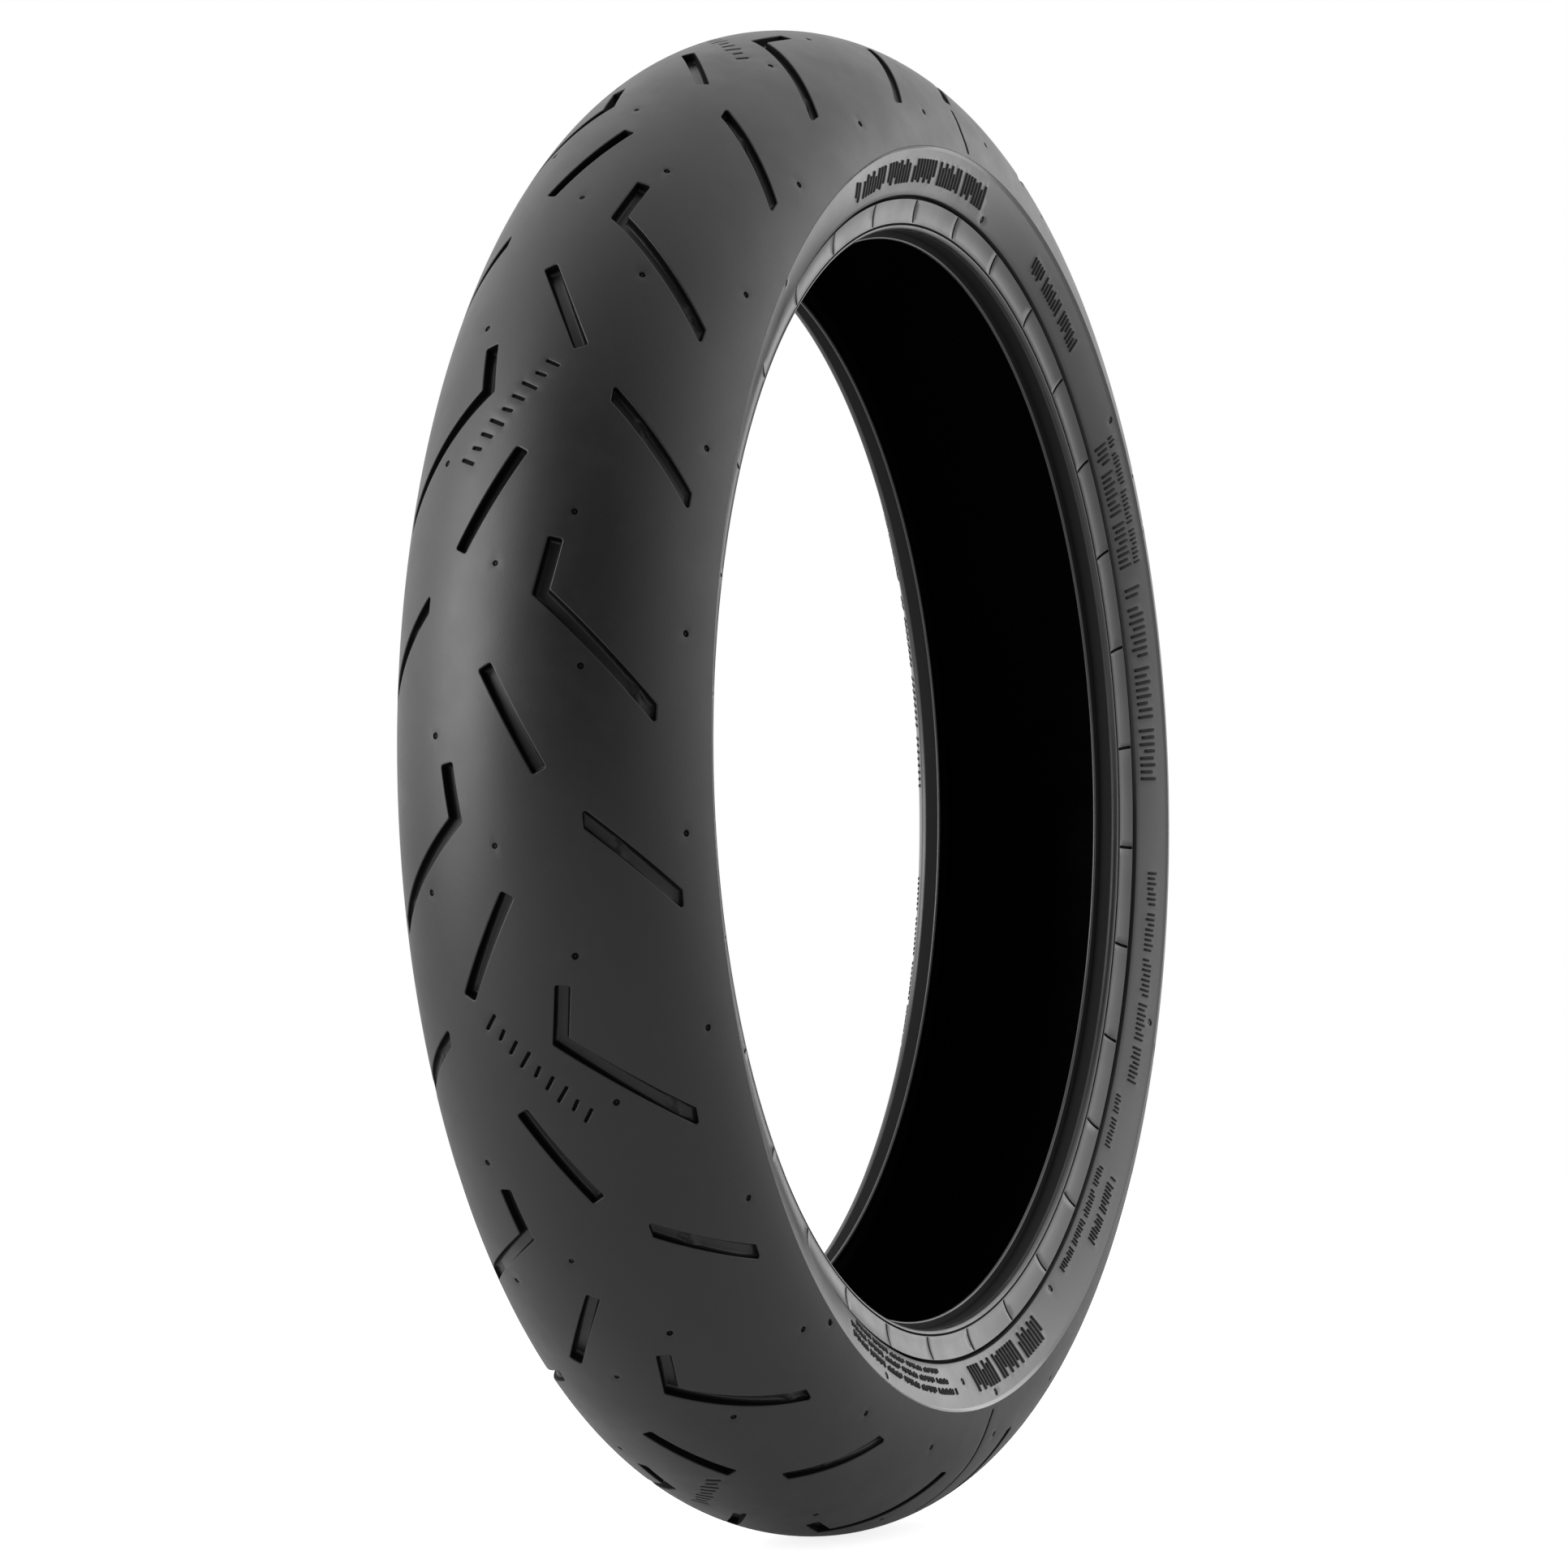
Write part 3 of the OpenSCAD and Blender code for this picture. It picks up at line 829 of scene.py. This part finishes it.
def make_sidewall(side, material):
    shell, arc = side_shell(side), side_arc()
    features = wrap_features(side_features(arc), side_seam)
    top, low = shell.skin(arc, even_rows(0, arc.length, SIDE_ROWS), side_seam, features, SIDE_SCALE)
    ply_line = [at_height(s, 2 * PLY) for s in upper_line(14, 10) + [bead_station(SIDE_ANGLE)]]
    bottom = [(RING_R + 0.1, SIDE_LOW[1] - 0.08), (RING_R, SIDE_LOW[1] - 0.3)]
    inner = [where_radius([on_turnup(0, 0), on_turnup(TURNUP_INNER, 0)], RING_R),
             on_turnup(TURNUP_INNER, 0), on_turnup(TURNUP_INNER, PLY), on_turnup(TURNUP_OUTER, PLY),
             on_turnup(TURNUP_OUTER, 2 * PLY), filler_tip(), where_radius(ply_line, EDGE_R)]
    step = [(EDGE_R, SIDE_Y + 0.2)] + [(EDGE_R - dr, EDGE_Y - dy) for dr, dy in STEP_PATH]
    shell.rings(bottom + inner + step, low, top)
    return shell.build("sidewall_skin_" + side, "sidewall_" + side, material)


# ---- rim cushions

# The cuts between the ribs of the band
RIB_COUNT, RIB_START = 32, -93.88
RIB_WIDTH, RIB_LEAN, RIB_END = 1.3, 0.5, 0.18
RIB_PROFILE = ((-0.08, 0), (0.0, -0.04), (0.1, -0.35), (0.34, -0.85))
BAND_LOW_R, BAND_HIGH_R, BAND_HOLLOW = 220.9, RING_R - 1.4, -0.5
RIM_SCALE, RIM_ROWS = 3.93, 5
# The outer cone of the bead, which leans in towards the heel
HEEL_Y, HEEL_STEPS = 46.5, 8
RIM_LEAN = math.atan((RING_Y - HEEL_Y) / (RING_R - SEAT_R))


def heel_line():
    """The rounded heel, from the outer cone to the seat."""
    mid = (SEAT_R + HEEL_ROUND, HEEL_Y - HEEL_ROUND * tan(radians(45) - RIM_LEAN / 2))
    angles = even_rows(90 + degrees(RIM_LEAN), 180, HEEL_STEPS)
    return [station(mid, HEEL_ROUND, a)[:2] for a in angles]


def cone(r, below=0.0):
    """A point of the outer cone at radius r, or below it."""
    r0, y0 = heel_line()[0]
    return r, y0 + (r - r0) * tan(RIM_LEAN) - below


def rim_arc():
    """The slightly hollow band with the ribs."""
    return Arc(cone(BAND_HIGH_R), cone(BAND_LOW_R), BAND_HOLLOW)


# The rounded toe from the seat inwards, from (TOE_R, TOE_Y), and the ring groove's bottom
# from the sidewall inwards, below (RING_R, RING_Y)
TOE_PATH = ((0.45, 1.25), (0.1, 1.05), (0, 0.75), (0.02, 0.4), (0.2, 0.1), (0.55, 0))
RING_GROOVE_PATH = ((0, 1.3), (0.25, 2.1), (0.9, 2.2), (1.2, 1.6), (1.32, 0.9), (1.36, 0.55))


def make_rim_cushion(side, material):
    shell, arc = side_shell(side), rim_arc()
    span = (RIB_END, arc.length - RIB_END)
    ribs = [bar_on(arc, RIB_START + k * 360 / RIB_COUNT, *span, RIB_WIDTH, RIB_LEAN, RIB_PROFILE)
            for k in range(RIB_COUNT)]
    features = wrap_features(ribs, side_seam)
    top, low = shell.skin(arc, even_rows(0, arc.length, RIM_ROWS), side_seam, features, RIM_SCALE)
    fine_line = [cone(220.8, 0.04), cone(220.65, 0.5), cone(220.35, 0.72), cone(220.05, 0.5),
                 cone(219.9, 0.04)]
    toe = [(SEAT_R, SEAT_END_Y)] + [(TOE_R + dr, TOE_Y + dy) for dr, dy in TOE_PATH]
    inside = [(LINER_END_R, LINER_END_Y + LINER_H), (LINER_END_R, LINER_END_Y + 0.1)]
    inside += [at_height(bead_station(a), 0) for a in (90, 80, 70)]
    inside += [at_height(bead_station(a), -CHAFER) for a in range(70, TURNUP_ANGLE - 1, -10)]
    inside += [on_turnup(CHAFER_UP, -CHAFER), on_turnup(CHAFER_UP, 0),
               where_radius([on_turnup(CHAFER_UP, 0), on_turnup(TURNUP_INNER, 0)], RING_R)]
    ring_groove = [(RING_R - dr, RING_Y - dy) for dr, dy in RING_GROOVE_PATH]
    shell.rings(fine_line + heel_line() + toe + inside + ring_groove, low, top)
    return shell.build("rim_band_" + side, "rim_cushion_" + side, material)


# ---- liner

def liner_face(h, crown_steps, turn_steps):
    line = upper_line(crown_steps, turn_steps) + [bead_station(SIDE_ANGLE - 10 * i) for i in range(4)]
    return [at_height(s, h) for s in line] + [(LINER_END_R, LINER_END_Y + h)]


def make_liner(material):
    shell = Shell()
    seen, back = liner_face(LINER_H, 28, 14), liner_face(-TIE_GUM, 14, 10)
    outline = [(r, -y) for r, y in seen[::-1]] + seen[1:] + back[::-1] + [(r, -y) for r, y in back[1:]]
    first = shell.ring(outline[0])
    last = shell.rings(outline[1:], first)
    shell.strip(last, first)
    return shell.build("liner_sheet", "inner_liner", material)


# ---- materials

class Tree:
    """A node tree, with a short call for each node used. A value may be a number, a colour
    or another node's output."""

    def __init__(self, tree):
        self.nodes, self.links = tree.nodes, tree.links

    def put(self, value, socket):
        if isinstance(value, bpy.types.NodeSocket):
            self.links.new(value, socket)
        else:
            socket.default_value = (*value, 1) if socket.type == "RGBA" else value

    def made(self, kind, values=(), operation=None):
        """The outputs of a new node with these (input, value) pairs."""
        node = self.nodes.new("ShaderNode" + kind)
        if operation:
            node.operation = operation
        for socket, value in values:
            self.put(value, node.inputs[socket])
        return node.outputs

    def noise(self, vector, scale, detail=3.0, rough=0.5):
        return self.made("TexNoise", (
            ("Vector", vector), ("Scale", scale), ("Detail", detail), ("Roughness", rough)))["Fac"]

    def ranged(self, value, low, high, start=0.3, stop=0.7):
        """Low where the value is at start, high where it is at stop, and level beyond them."""
        return self.made("MapRange", (
            ("Value", value), ("From Min", start), ("From Max", stop), ("To Min", low),
            ("To Max", high)))["Result"]

    def above(self, value, span):
        """A mask that rises from 0 to 1 over the span."""
        return self.ranged(value, 0, 1, *span)

    def below(self, value, span):
        return self.ranged(value, 1, 0, *span)

    def scaled(self, mask, at_none, at_full):
        """A number that goes with a mask."""
        return self.ranged(mask, at_none, at_full, 0, 1)

    def mixed(self, factor, a, b):
        node = self.nodes.new("ShaderNodeMix")
        node.data_type = "RGBA"
        for value, socket in ((factor, "Factor"), (a, 6), (b, 7)):
            self.put(value, node.inputs[socket])
        return node.outputs[2]

    def maths(self, operation, *values):
        return self.made("Math", enumerate(values), operation)[0]

    def add(self, first, *others):
        for value in others:
            first = self.maths("ADD", first, value)
        return first

    def multiply(self, first, *others):
        for value in others:
            first = self.maths("MULTIPLY", first, value)
        return first

    def less(self, a, b):
        return self.maths("SUBTRACT", a, b)

    def bumped(self, height, distance, strength=1.0, under=None):
        values = [("Height", height), ("Distance", distance), ("Strength", strength)]
        if under:
            values.append(("Normal", under))
        return self.made("Bump", values)["Normal"]

    def vector_maths(self, operation, *values):
        outputs = self.made("VectorMath", enumerate(values), operation)
        return outputs["Vector" if operation == "MULTIPLY" else "Value"]

    def dot(self, a, axis):
        return self.vector_maths("DOT_PRODUCT", a, axis)

    def combined(self, values):
        return self.made("CombineXYZ", enumerate(values))[0]


class Spot:
    """Where a point of the surface is: its place, radius and angle about the axle, y, and
    out, its distance from the centre plane."""

    def __init__(self, tree):
        self.tree = tree
        self.place = tree.made("TexCoord")["Object"]
        x, self.y, z = tree.made("SeparateXYZ", [(0, self.place)])
        self.radius = self.length(x, z)
        self.angle = tree.maths("ARCTAN2", z, x)
        self.out = tree.maths("ABSOLUTE", self.y)

    def length(self, a, b):
        return self.tree.vector_maths("LENGTH", self.tree.combined((a, b)))

    def beyond(self, centre, r):
        """How far the point is outside a circle of the section, given in millimetres."""
        tree = self.tree
        away = self.length(tree.less(self.radius, centre[0] * MM), tree.less(self.out, centre[1] * MM))
        return tree.less(away, r * MM)


def new_material(name):
    material = bpy.data.materials.new(name)
    material.use_nodes = True
    tree = Tree(material.node_tree)
    return material, tree, tree.nodes["Principled BSDF"].inputs


def grey(level):
    return level, level, level


SPECULAR = "Specular IOR Level"
# Noise scales for slow tone, bloom, gloss, uneven moulding and grain
TONE_NOISE, BLOOM_NOISE, GLOSS_NOISE, UNEVEN_NOISE, GRAIN_NOISE = 17, 95, 42, 210, 1600
UNEVEN = 0.00003
# Where the bloom shows as dust, how much lighter that is, and what it does to the gloss
DUST_SPAN, DUST_GAIN, DUST_LIFT, DUST_GLOSS = (0.52, 0.78), 1.25, 0.001, (-0.02, 0.03)
MOULD_LINES = 9000
BLADDER_SPOKES, BLADDER_SLANT, BLADDER_SHARP = 90, 60, 14
# Textile and wire: fray, patches, and turns and slant of a wire's strands
FRAY_NOISE, PATCH_NOISE, LAY_TURNS, LAY_SLANT = 900, 160, 700, 5000


def rubber(name, dark, light, rough, grain, rings=0.0, bladder=0.0, specular=0.5, zones=None):
    """Moulded rubber: slow shifts of tone and gloss, a fine grain, and turned mould lines.
    zones() may change the tone, gloss and specular level over parts of the surface."""
    material, tree, shader = new_material(name)
    spot = Spot(tree)
    bloom = tree.noise(spot.place, BLOOM_NOISE, 5, 0.65)
    tone = tree.mixed(tree.ranged(tree.noise(spot.place, TONE_NOISE, 4), 0, 1), dark, light)
    dust = tuple(c * DUST_GAIN + DUST_LIFT for c in light)
    tone = tree.mixed(tree.ranged(bloom, 0, 0.5, *DUST_SPAN), tone, dust)
    gloss = tree.ranged(tree.noise(spot.place, GLOSS_NOISE, 4), *rough)
    gloss = tree.add(gloss, tree.ranged(bloom, *DUST_GLOSS))
    shader[SPECULAR].default_value = specular
    if zones:
        tone, gloss, level = zones(tree, spot, tone, gloss, specular)
        tree.put(level, shader[SPECULAR])
    tree.put(tone, shader["Base Color"])
    tree.put(gloss, shader["Roughness"])
    normal = tree.bumped(tree.noise(spot.place, UNEVEN_NOISE, 2), UNEVEN, 0.5)
    normal = tree.bumped(tree.noise(spot.place, GRAIN_NOISE, 3), grain, 1.0, normal)
    if rings:
        lines = tree.maths("SINE", tree.multiply(spot.radius, MOULD_LINES))
        normal = tree.bumped(lines, rings, 0.6, normal)
    if bladder:
        spokes = tree.maths("SINE", tree.add(
            tree.multiply(spot.angle, BLADDER_SPOKES), tree.multiply(spot.y, BLADDER_SLANT)))
        spokes = tree.maths("POWER", tree.maths("ABSOLUTE", spokes), BLADDER_SHARP)
        normal = tree.bumped(spokes, bladder, 1.0, normal)
    tree.put(normal, shader["Normal"])
    return material


# Each zone of a rubber surface starts and stops over a span in metres: of the depth below
# the tread, the height over a surface, the radius, or the distance from the centre plane
CUT_DEPTH, FLOOR_DEPTH = (0.0001, 0.0005), (0.0007, 0.001)
FLOOR_NEAR = (0.0006, 0.0016)
# Painted shade in the grooves: a near-black tone and low specular on the walls, a lower specular on the
# floors
GROOVE_SHADE_TONE, GROOVE_SHADE_SPECULAR, FLOOR_SHADE_LOSS = grey(0.002), 0.08, 0.05
DULL = 0.3

BAR_HEIGHT, BAR_END_R = (0.0001, 0.0003), (0.2476, 0.2481)
POLISH_R, POLISH_OUT = (0.2486, 0.2489), (0.0586, 0.0588)
BAR_TONE, BAR_SPECULAR = grey(0.006), 0.25
POLISH_GLOSS, POLISH_SPECULAR = 0.45, 0.35

RIB_DEPTH = (0.0001, 0.0004)
RIB_END_R, RIB_OUT = (0.21985, 0.21995), (0.0445, 0.045)
SEAT_TOP_R, SEAT_LOW_R, SEAT_OUT = (0.2186, 0.2192), (0.21575, 0.216), (0.044, 0.0447)
INNER_OUT = (0.0364, 0.0366)
# Painted shade on the rim band: a darker seat, near-black cuts between the ribs and a black inside face
SEAT_SHADE_TONE, RIB_CUT_SHADE_TONE, INNER_SHADE_TONE = grey(0.016), grey(0.003), grey(0.001)
# The seat's level, and shares of the level for the ribs' cuts and the inside face, lowered as painted shade
SEAT_SHADE_SPECULAR, RIB_CUT_SHADE_SPECULAR, INNER_SHADE_SPECULAR = 0.04, 0.15, 0.05
BEAD_DULL = 0.4


def tread_zones(tree, spot, tone, gloss, level):
    """Painted shade in the grooves and small cuts: their walls are made black and dull, and their floors a
    little less specular.
    """
    depth = tree.multiply(spot.beyond((CROWN_MID, 0), CROWN_R), -1)
    above_floor = spot.beyond((LINE_MID, 0), GROOVE_FLOOR_R)
    on_floor = tree.multiply(tree.below(above_floor, FLOOR_NEAR), tree.above(depth, FLOOR_DEPTH))
    groove_shade = tree.multiply(tree.above(depth, CUT_DEPTH), tree.less(1, on_floor))
    lost = tree.add(tree.multiply(groove_shade, level - GROOVE_SHADE_SPECULAR), tree.multiply(on_floor, FLOOR_SHADE_LOSS))
    return (tree.mixed(groove_shade, tone, GROOVE_SHADE_TONE), tree.add(gloss, tree.multiply(groove_shade, DULL)),
            tree.less(level, lost))


def sidewall_zones(tree, spot, tone, gloss, level):
    """The tops of the raised bars are dark and dull, and the edge at the tread is polished."""
    arc = side_arc()
    top = tree.multiply(tree.above(spot.beyond(arc.c, arc.r), BAR_HEIGHT), tree.below(spot.radius, BAR_END_R))
    edge = tree.multiply(tree.above(spot.radius, POLISH_R), tree.above(spot.out, POLISH_OUT))
    gloss = tree.add(tree.multiply(gloss, tree.scaled(edge, 1, POLISH_GLOSS)), tree.multiply(top, DULL))
    level = tree.add(tree.scaled(top, level, BAR_SPECULAR), tree.scaled(edge, 0, POLISH_SPECULAR))
    return tree.mixed(top, tone, BAR_TONE), gloss, level


def rim_zones(tree, spot, tone, gloss, level):
    """The seat is darker, dull and low in specular, the cuts between the ribs are near black, and
    the inside face is as black as the liner: all painted shade."""
    arc = rim_arc()
    cut = tree.multiply(tree.above(spot.beyond(arc.c, arc.r), RIB_DEPTH), tree.above(spot.radius, RIB_END_R),
                        tree.above(spot.out, RIB_OUT))
    seat = tree.multiply(tree.below(spot.radius, SEAT_TOP_R), tree.below(spot.out, SEAT_OUT),
                         tree.above(spot.radius, SEAT_LOW_R))
    inner = tree.below(spot.out, INNER_OUT)
    for mask, colour in ((seat, SEAT_SHADE_TONE), (cut, RIB_CUT_SHADE_TONE), (inner, INNER_SHADE_TONE)):
        tone = tree.mixed(mask, tone, colour)
    dulled = tree.maths("MAXIMUM", tree.maths("MAXIMUM", seat, cut), inner)
    level = tree.multiply(tree.scaled(seat, level, SEAT_SHADE_SPECULAR), tree.scaled(inner, 1, INNER_SHADE_SPECULAR),
                          tree.scaled(cut, 1, RIB_CUT_SHADE_SPECULAR))
    return tone, tree.add(gloss, tree.multiply(dulled, BEAD_DULL)), level


def corded(name, dark, light, count, lean, rough=0.7):
    """Rubber-coated textile: cords side by side, crossing the section at an angle."""
    material, tree, shader = new_material(name)
    spot = Spot(tree)
    cords = tree.maths("SINE", tree.add(tree.multiply(spot.angle, count), tree.multiply(spot.y, lean)))
    cords = tree.maths("ABSOLUTE", cords)
    fray = tree.noise(spot.place, FRAY_NOISE, 3)
    tree.put(tree.mixed(tree.multiply(cords, tree.ranged(fray, 0.5, 1)), dark, light), shader["Base Color"])
    tree.put(tree.ranged(fray, rough, rough + 0.15), shader["Roughness"])
    tree.put(tree.bumped(cords, 0.0002), shader["Normal"])
    return material


def wire(name, dark, light):
    """Brass-coated steel: strands laid round the cord, with duller patches."""
    material, tree, shader = new_material(name)
    spot = Spot(tree)
    lay = tree.maths("SINE", tree.add(tree.multiply(spot.angle, LAY_TURNS), tree.multiply(spot.y, LAY_SLANT)))
    patches = tree.noise(spot.place, PATCH_NOISE, 4)
    tree.put(tree.mixed(tree.ranged(patches, 0, 1), dark, light), shader["Base Color"])
    shader["Metallic"].default_value = 1.0
    tree.put(tree.ranged(patches, 0.28, 0.5), shader["Roughness"])
    tree.put(tree.bumped(tree.maths("ABSOLUTE", lay), 0.00006), shader["Normal"])
    return material


SATIN = ((0.02, 0.02, 0.0205), (0.026, 0.026, 0.0266))
tread_rubber = rubber("tread_compound", (0.0075, 0.0075, 0.0078), (0.0105, 0.0105, 0.0109), (0.41, 0.46),
                      0.000032, zones=tread_zones)
side_rubber = rubber("sidewall_compound", *SATIN, (0.28, 0.34), 0.00001, rings=0.000004, specular=0.65,
                     zones=sidewall_zones)
rim_rubber = rubber("rim_compound", *SATIN, (0.27, 0.37), 0.000006, rings=0.000004, specular=0.65,
                    zones=rim_zones)
# The liner is dark rubber, painted nearly black with almost no specular as painted shade for the inside of
# the tire
liner_shade_rubber = rubber("liner_shade_compound", grey(0.0004), grey(0.0008), (0.55, 0.7), 0.00001,
                      bladder=0.00015, specular=0.03)
hidden_rubber = rubber("inner_compound", grey(0.011), (0.017, 0.016, 0.016), (0.55, 0.68), 0.00001)
skim_rubber = rubber("skim_compound", (0.022, 0.02, 0.018), (0.034, 0.03, 0.026), (0.5, 0.64), 0.00001)

HIDDEN = {
    "tread_base": hidden_rubber, "belt_skim_outer": skim_rubber, "belt_skim_inner": skim_rubber,
    "belt_cord_windings": wire("belt_wire", (0.42, 0.33, 0.17), (0.62, 0.5, 0.3)),
    "carcass_ply_outer": corded("ply_cord_outer", (0.03, 0.026, 0.02), (0.26, 0.21, 0.14), 560, 0),
    "carcass_ply_inner": corded("ply_cord_inner", (0.03, 0.026, 0.02), (0.24, 0.2, 0.14), 560, 60),
    "liner_tie_gum": hidden_rubber,
}
for side in ("left", "right"):
    HIDDEN["belt_edge_cushion_" + side] = HIDDEN["bead_filler_" + side] = hidden_rubber
    HIDDEN["bead_wires_" + side] = wire("bead_wire_" + side, (0.4, 0.33, 0.2), (0.6, 0.5, 0.32))
    HIDDEN["bead_wrap_" + side] = corded(
        "wrap_weave_" + side, (0.03, 0.025, 0.02), (0.11, 0.09, 0.07), 900, 3000)
    HIDDEN["bead_chafer_" + side] = corded(
        "chafer_weave_" + side, (0.03, 0.026, 0.022), (0.13, 0.11, 0.09), 700, 2200)

# ---- pieces

tread = make_tread(tread_rubber)
for side in ("left", "right"):
    make_sidewall(side, side_rubber)
    make_rim_cushion(side, rim_rubber)
make_liner(liner_shade_rubber)

for node, material in HIDDEN.items():
    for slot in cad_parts[node].material_slots:
        slot.material = material

# ---- camera

AZIMUTH, ELEVATION = radians(-66.736), radians(-4.168)
DISTANCE, PAN_RIGHT, PAN_UP = 1.7885, -0.01868, -0.00066
LENS, SENSOR = 101.84, 36
back = Vector((sin(AZIMUTH) * cos(ELEVATION), -cos(AZIMUTH) * cos(ELEVATION), sin(ELEVATION)))
right = (-back).cross(Vector((0, 0, 1))).normalized()
up = right.cross(-back)


def make_camera():
    data = bpy.data.cameras.new("camera")
    data.lens, data.sensor_width = LENS, SENSOR
    camera = add_to_scene("camera", data)
    camera.matrix_world = Matrix((right, up, back)).transposed().to_4x4()
    camera.location = back * DISTANCE + right * PAN_RIGHT + up * PAN_UP
    bpy.context.scene.camera = camera


# ---- floor and light

FLOOR_Z, FLOOR_REACH = cad_low.z, 9.0
FLOOR_DARK, FLOOR_LIGHT, FLOOR_ROUGH, FLOOR_SPECULAR = grey(0.6), grey(0.64), 0.9, 0.1
# The floor looks white to the camera, and is pale grey in reflections with a brighter
# patch under the tire
CAMERA_GLOW, PATCH_GLOW, PATCH_EDGE = 0.7, 0.14, (0.3, 0.5)
# The world's light, a smooth sum over the direction's shares forwards, right and upwards:
# most from the two sides, then from behind the tire and from above, little from below and
# next to none from the camera's side, with a bright strip at the left. To the camera the
# backdrop is plain white.
LIGHT_LEVEL = 1.0
LIGHT_LINEAR = (0.62, 0.0, 0.25)
LIGHT_SQUARE = (-0.7, 0.34, -0.45)
LIGHT_CROSS = (0.1, 0.12, 0.36)
LIGHT_LEAST = 0.04
STRIP_LIGHT, STRIP_SHARP, STRIP_LEVEL = (-0.3, -0.95, 0.05), 7, 1.6
# Soft boxes, unseen by the camera: name, place and target with heights above the floor,
# width and height, and power in watts
SOFT_BOXES = (
    ("overhead", (0.3, 0.0, 2.7), (0, 0, 0.3), 2.6, 2.6, 4),
    ("panel_ahead", (1.32, -0.5, 0.66), (0, 0, 0.45), 0.5, 1.3, 2.5),
    ("panel_left", (-0.98, 0.86, 0.62), (-0.25, 0, 0.3), 0.8, 1.2, 12.5),
    ("panel_right", (0.38, -0.98, 0.62), (0.05, 0, 0.4), 1.1, 1.2, 0.9),
)


def make_floor():
    mesh = bpy.data.meshes.new("floor")
    corners = ((-1, -1), (1, -1), (1, 1), (-1, 1))
    mesh.from_pydata([(x * FLOOR_REACH, y * FLOOR_REACH, FLOOR_Z) for x, y in corners], [], [(0, 1, 2, 3)])
    floor = add_to_scene("floor", mesh)
    material, tree, shader = new_material("floor_paint")
    place = tree.made("TexCoord")["Object"]
    tree.put(tree.mixed(tree.noise(place, 6), FLOOR_DARK, FLOOR_LIGHT), shader["Base Color"])
    shader["Roughness"].default_value = FLOOR_ROUGH
    shader[SPECULAR].default_value = FLOOR_SPECULAR
    shader["Emission Color"].default_value = (1, 1, 1, 1)
    patch = tree.ranged(tree.vector_maths("LENGTH", place), PATCH_GLOW, 0.0, *PATCH_EDGE)
    glow = tree.multiply(tree.made("LightPath")["Is Camera Ray"], CAMERA_GLOW)
    tree.put(tree.add(glow, patch), shader["Emission Strength"])
    mesh.materials.append(material)


def make_world():
    world = bpy.data.worlds.new("studio")
    bpy.context.scene.world = world
    world.use_nodes = True
    tree = Tree(world.node_tree)
    place = tree.made("TexCoord")["Generated"]
    shares = [tree.dot(place, axis) for axis in (-back, right, up)]
    share = tree.combined(shares)
    squared = tree.vector_maths("MULTIPLY", share, share)
    crossed = tree.vector_maths("MULTIPLY", share, tree.combined((shares[1], shares[2], shares[0])))
    level = tree.add(tree.dot(share, LIGHT_LINEAR), LIGHT_LEVEL, tree.dot(squared, LIGHT_SQUARE),
                     tree.dot(crossed, LIGHT_CROSS))
    strip = tree.maths("MAXIMUM", tree.dot(share, STRIP_LIGHT), 0)
    strip = tree.multiply(tree.maths("POWER", strip, STRIP_SHARP), STRIP_LEVEL)
    level = tree.add(tree.maths("MAXIMUM", level, LIGHT_LEAST), strip)
    background = tree.nodes["Background"].inputs
    tree.put(tree.mixed(tree.made("LightPath")["Is Camera Ray"], level, (1.0, 1.0, 1.0)), background["Color"])
    background["Strength"].default_value = 1.0


def soft_box(name, place, target, width, height, power):
    light = bpy.data.lights.new(name, "AREA")
    light.shape = "RECTANGLE"
    light.size, light.size_y, light.energy = width, height, power
    obj = add_to_scene(name, light)
    obj.location = Vector(place) + Vector((0, 0, FLOOR_Z))
    obj.rotation_euler = (Vector(target) - Vector(place)).to_track_quat("-Z", "Y").to_euler()
    obj.visible_camera = False


make_camera()
make_floor()
make_world()
for box in SOFT_BOXES:
    soft_box(*box)
bpy.context.scene.view_settings.view_transform = "Standard"
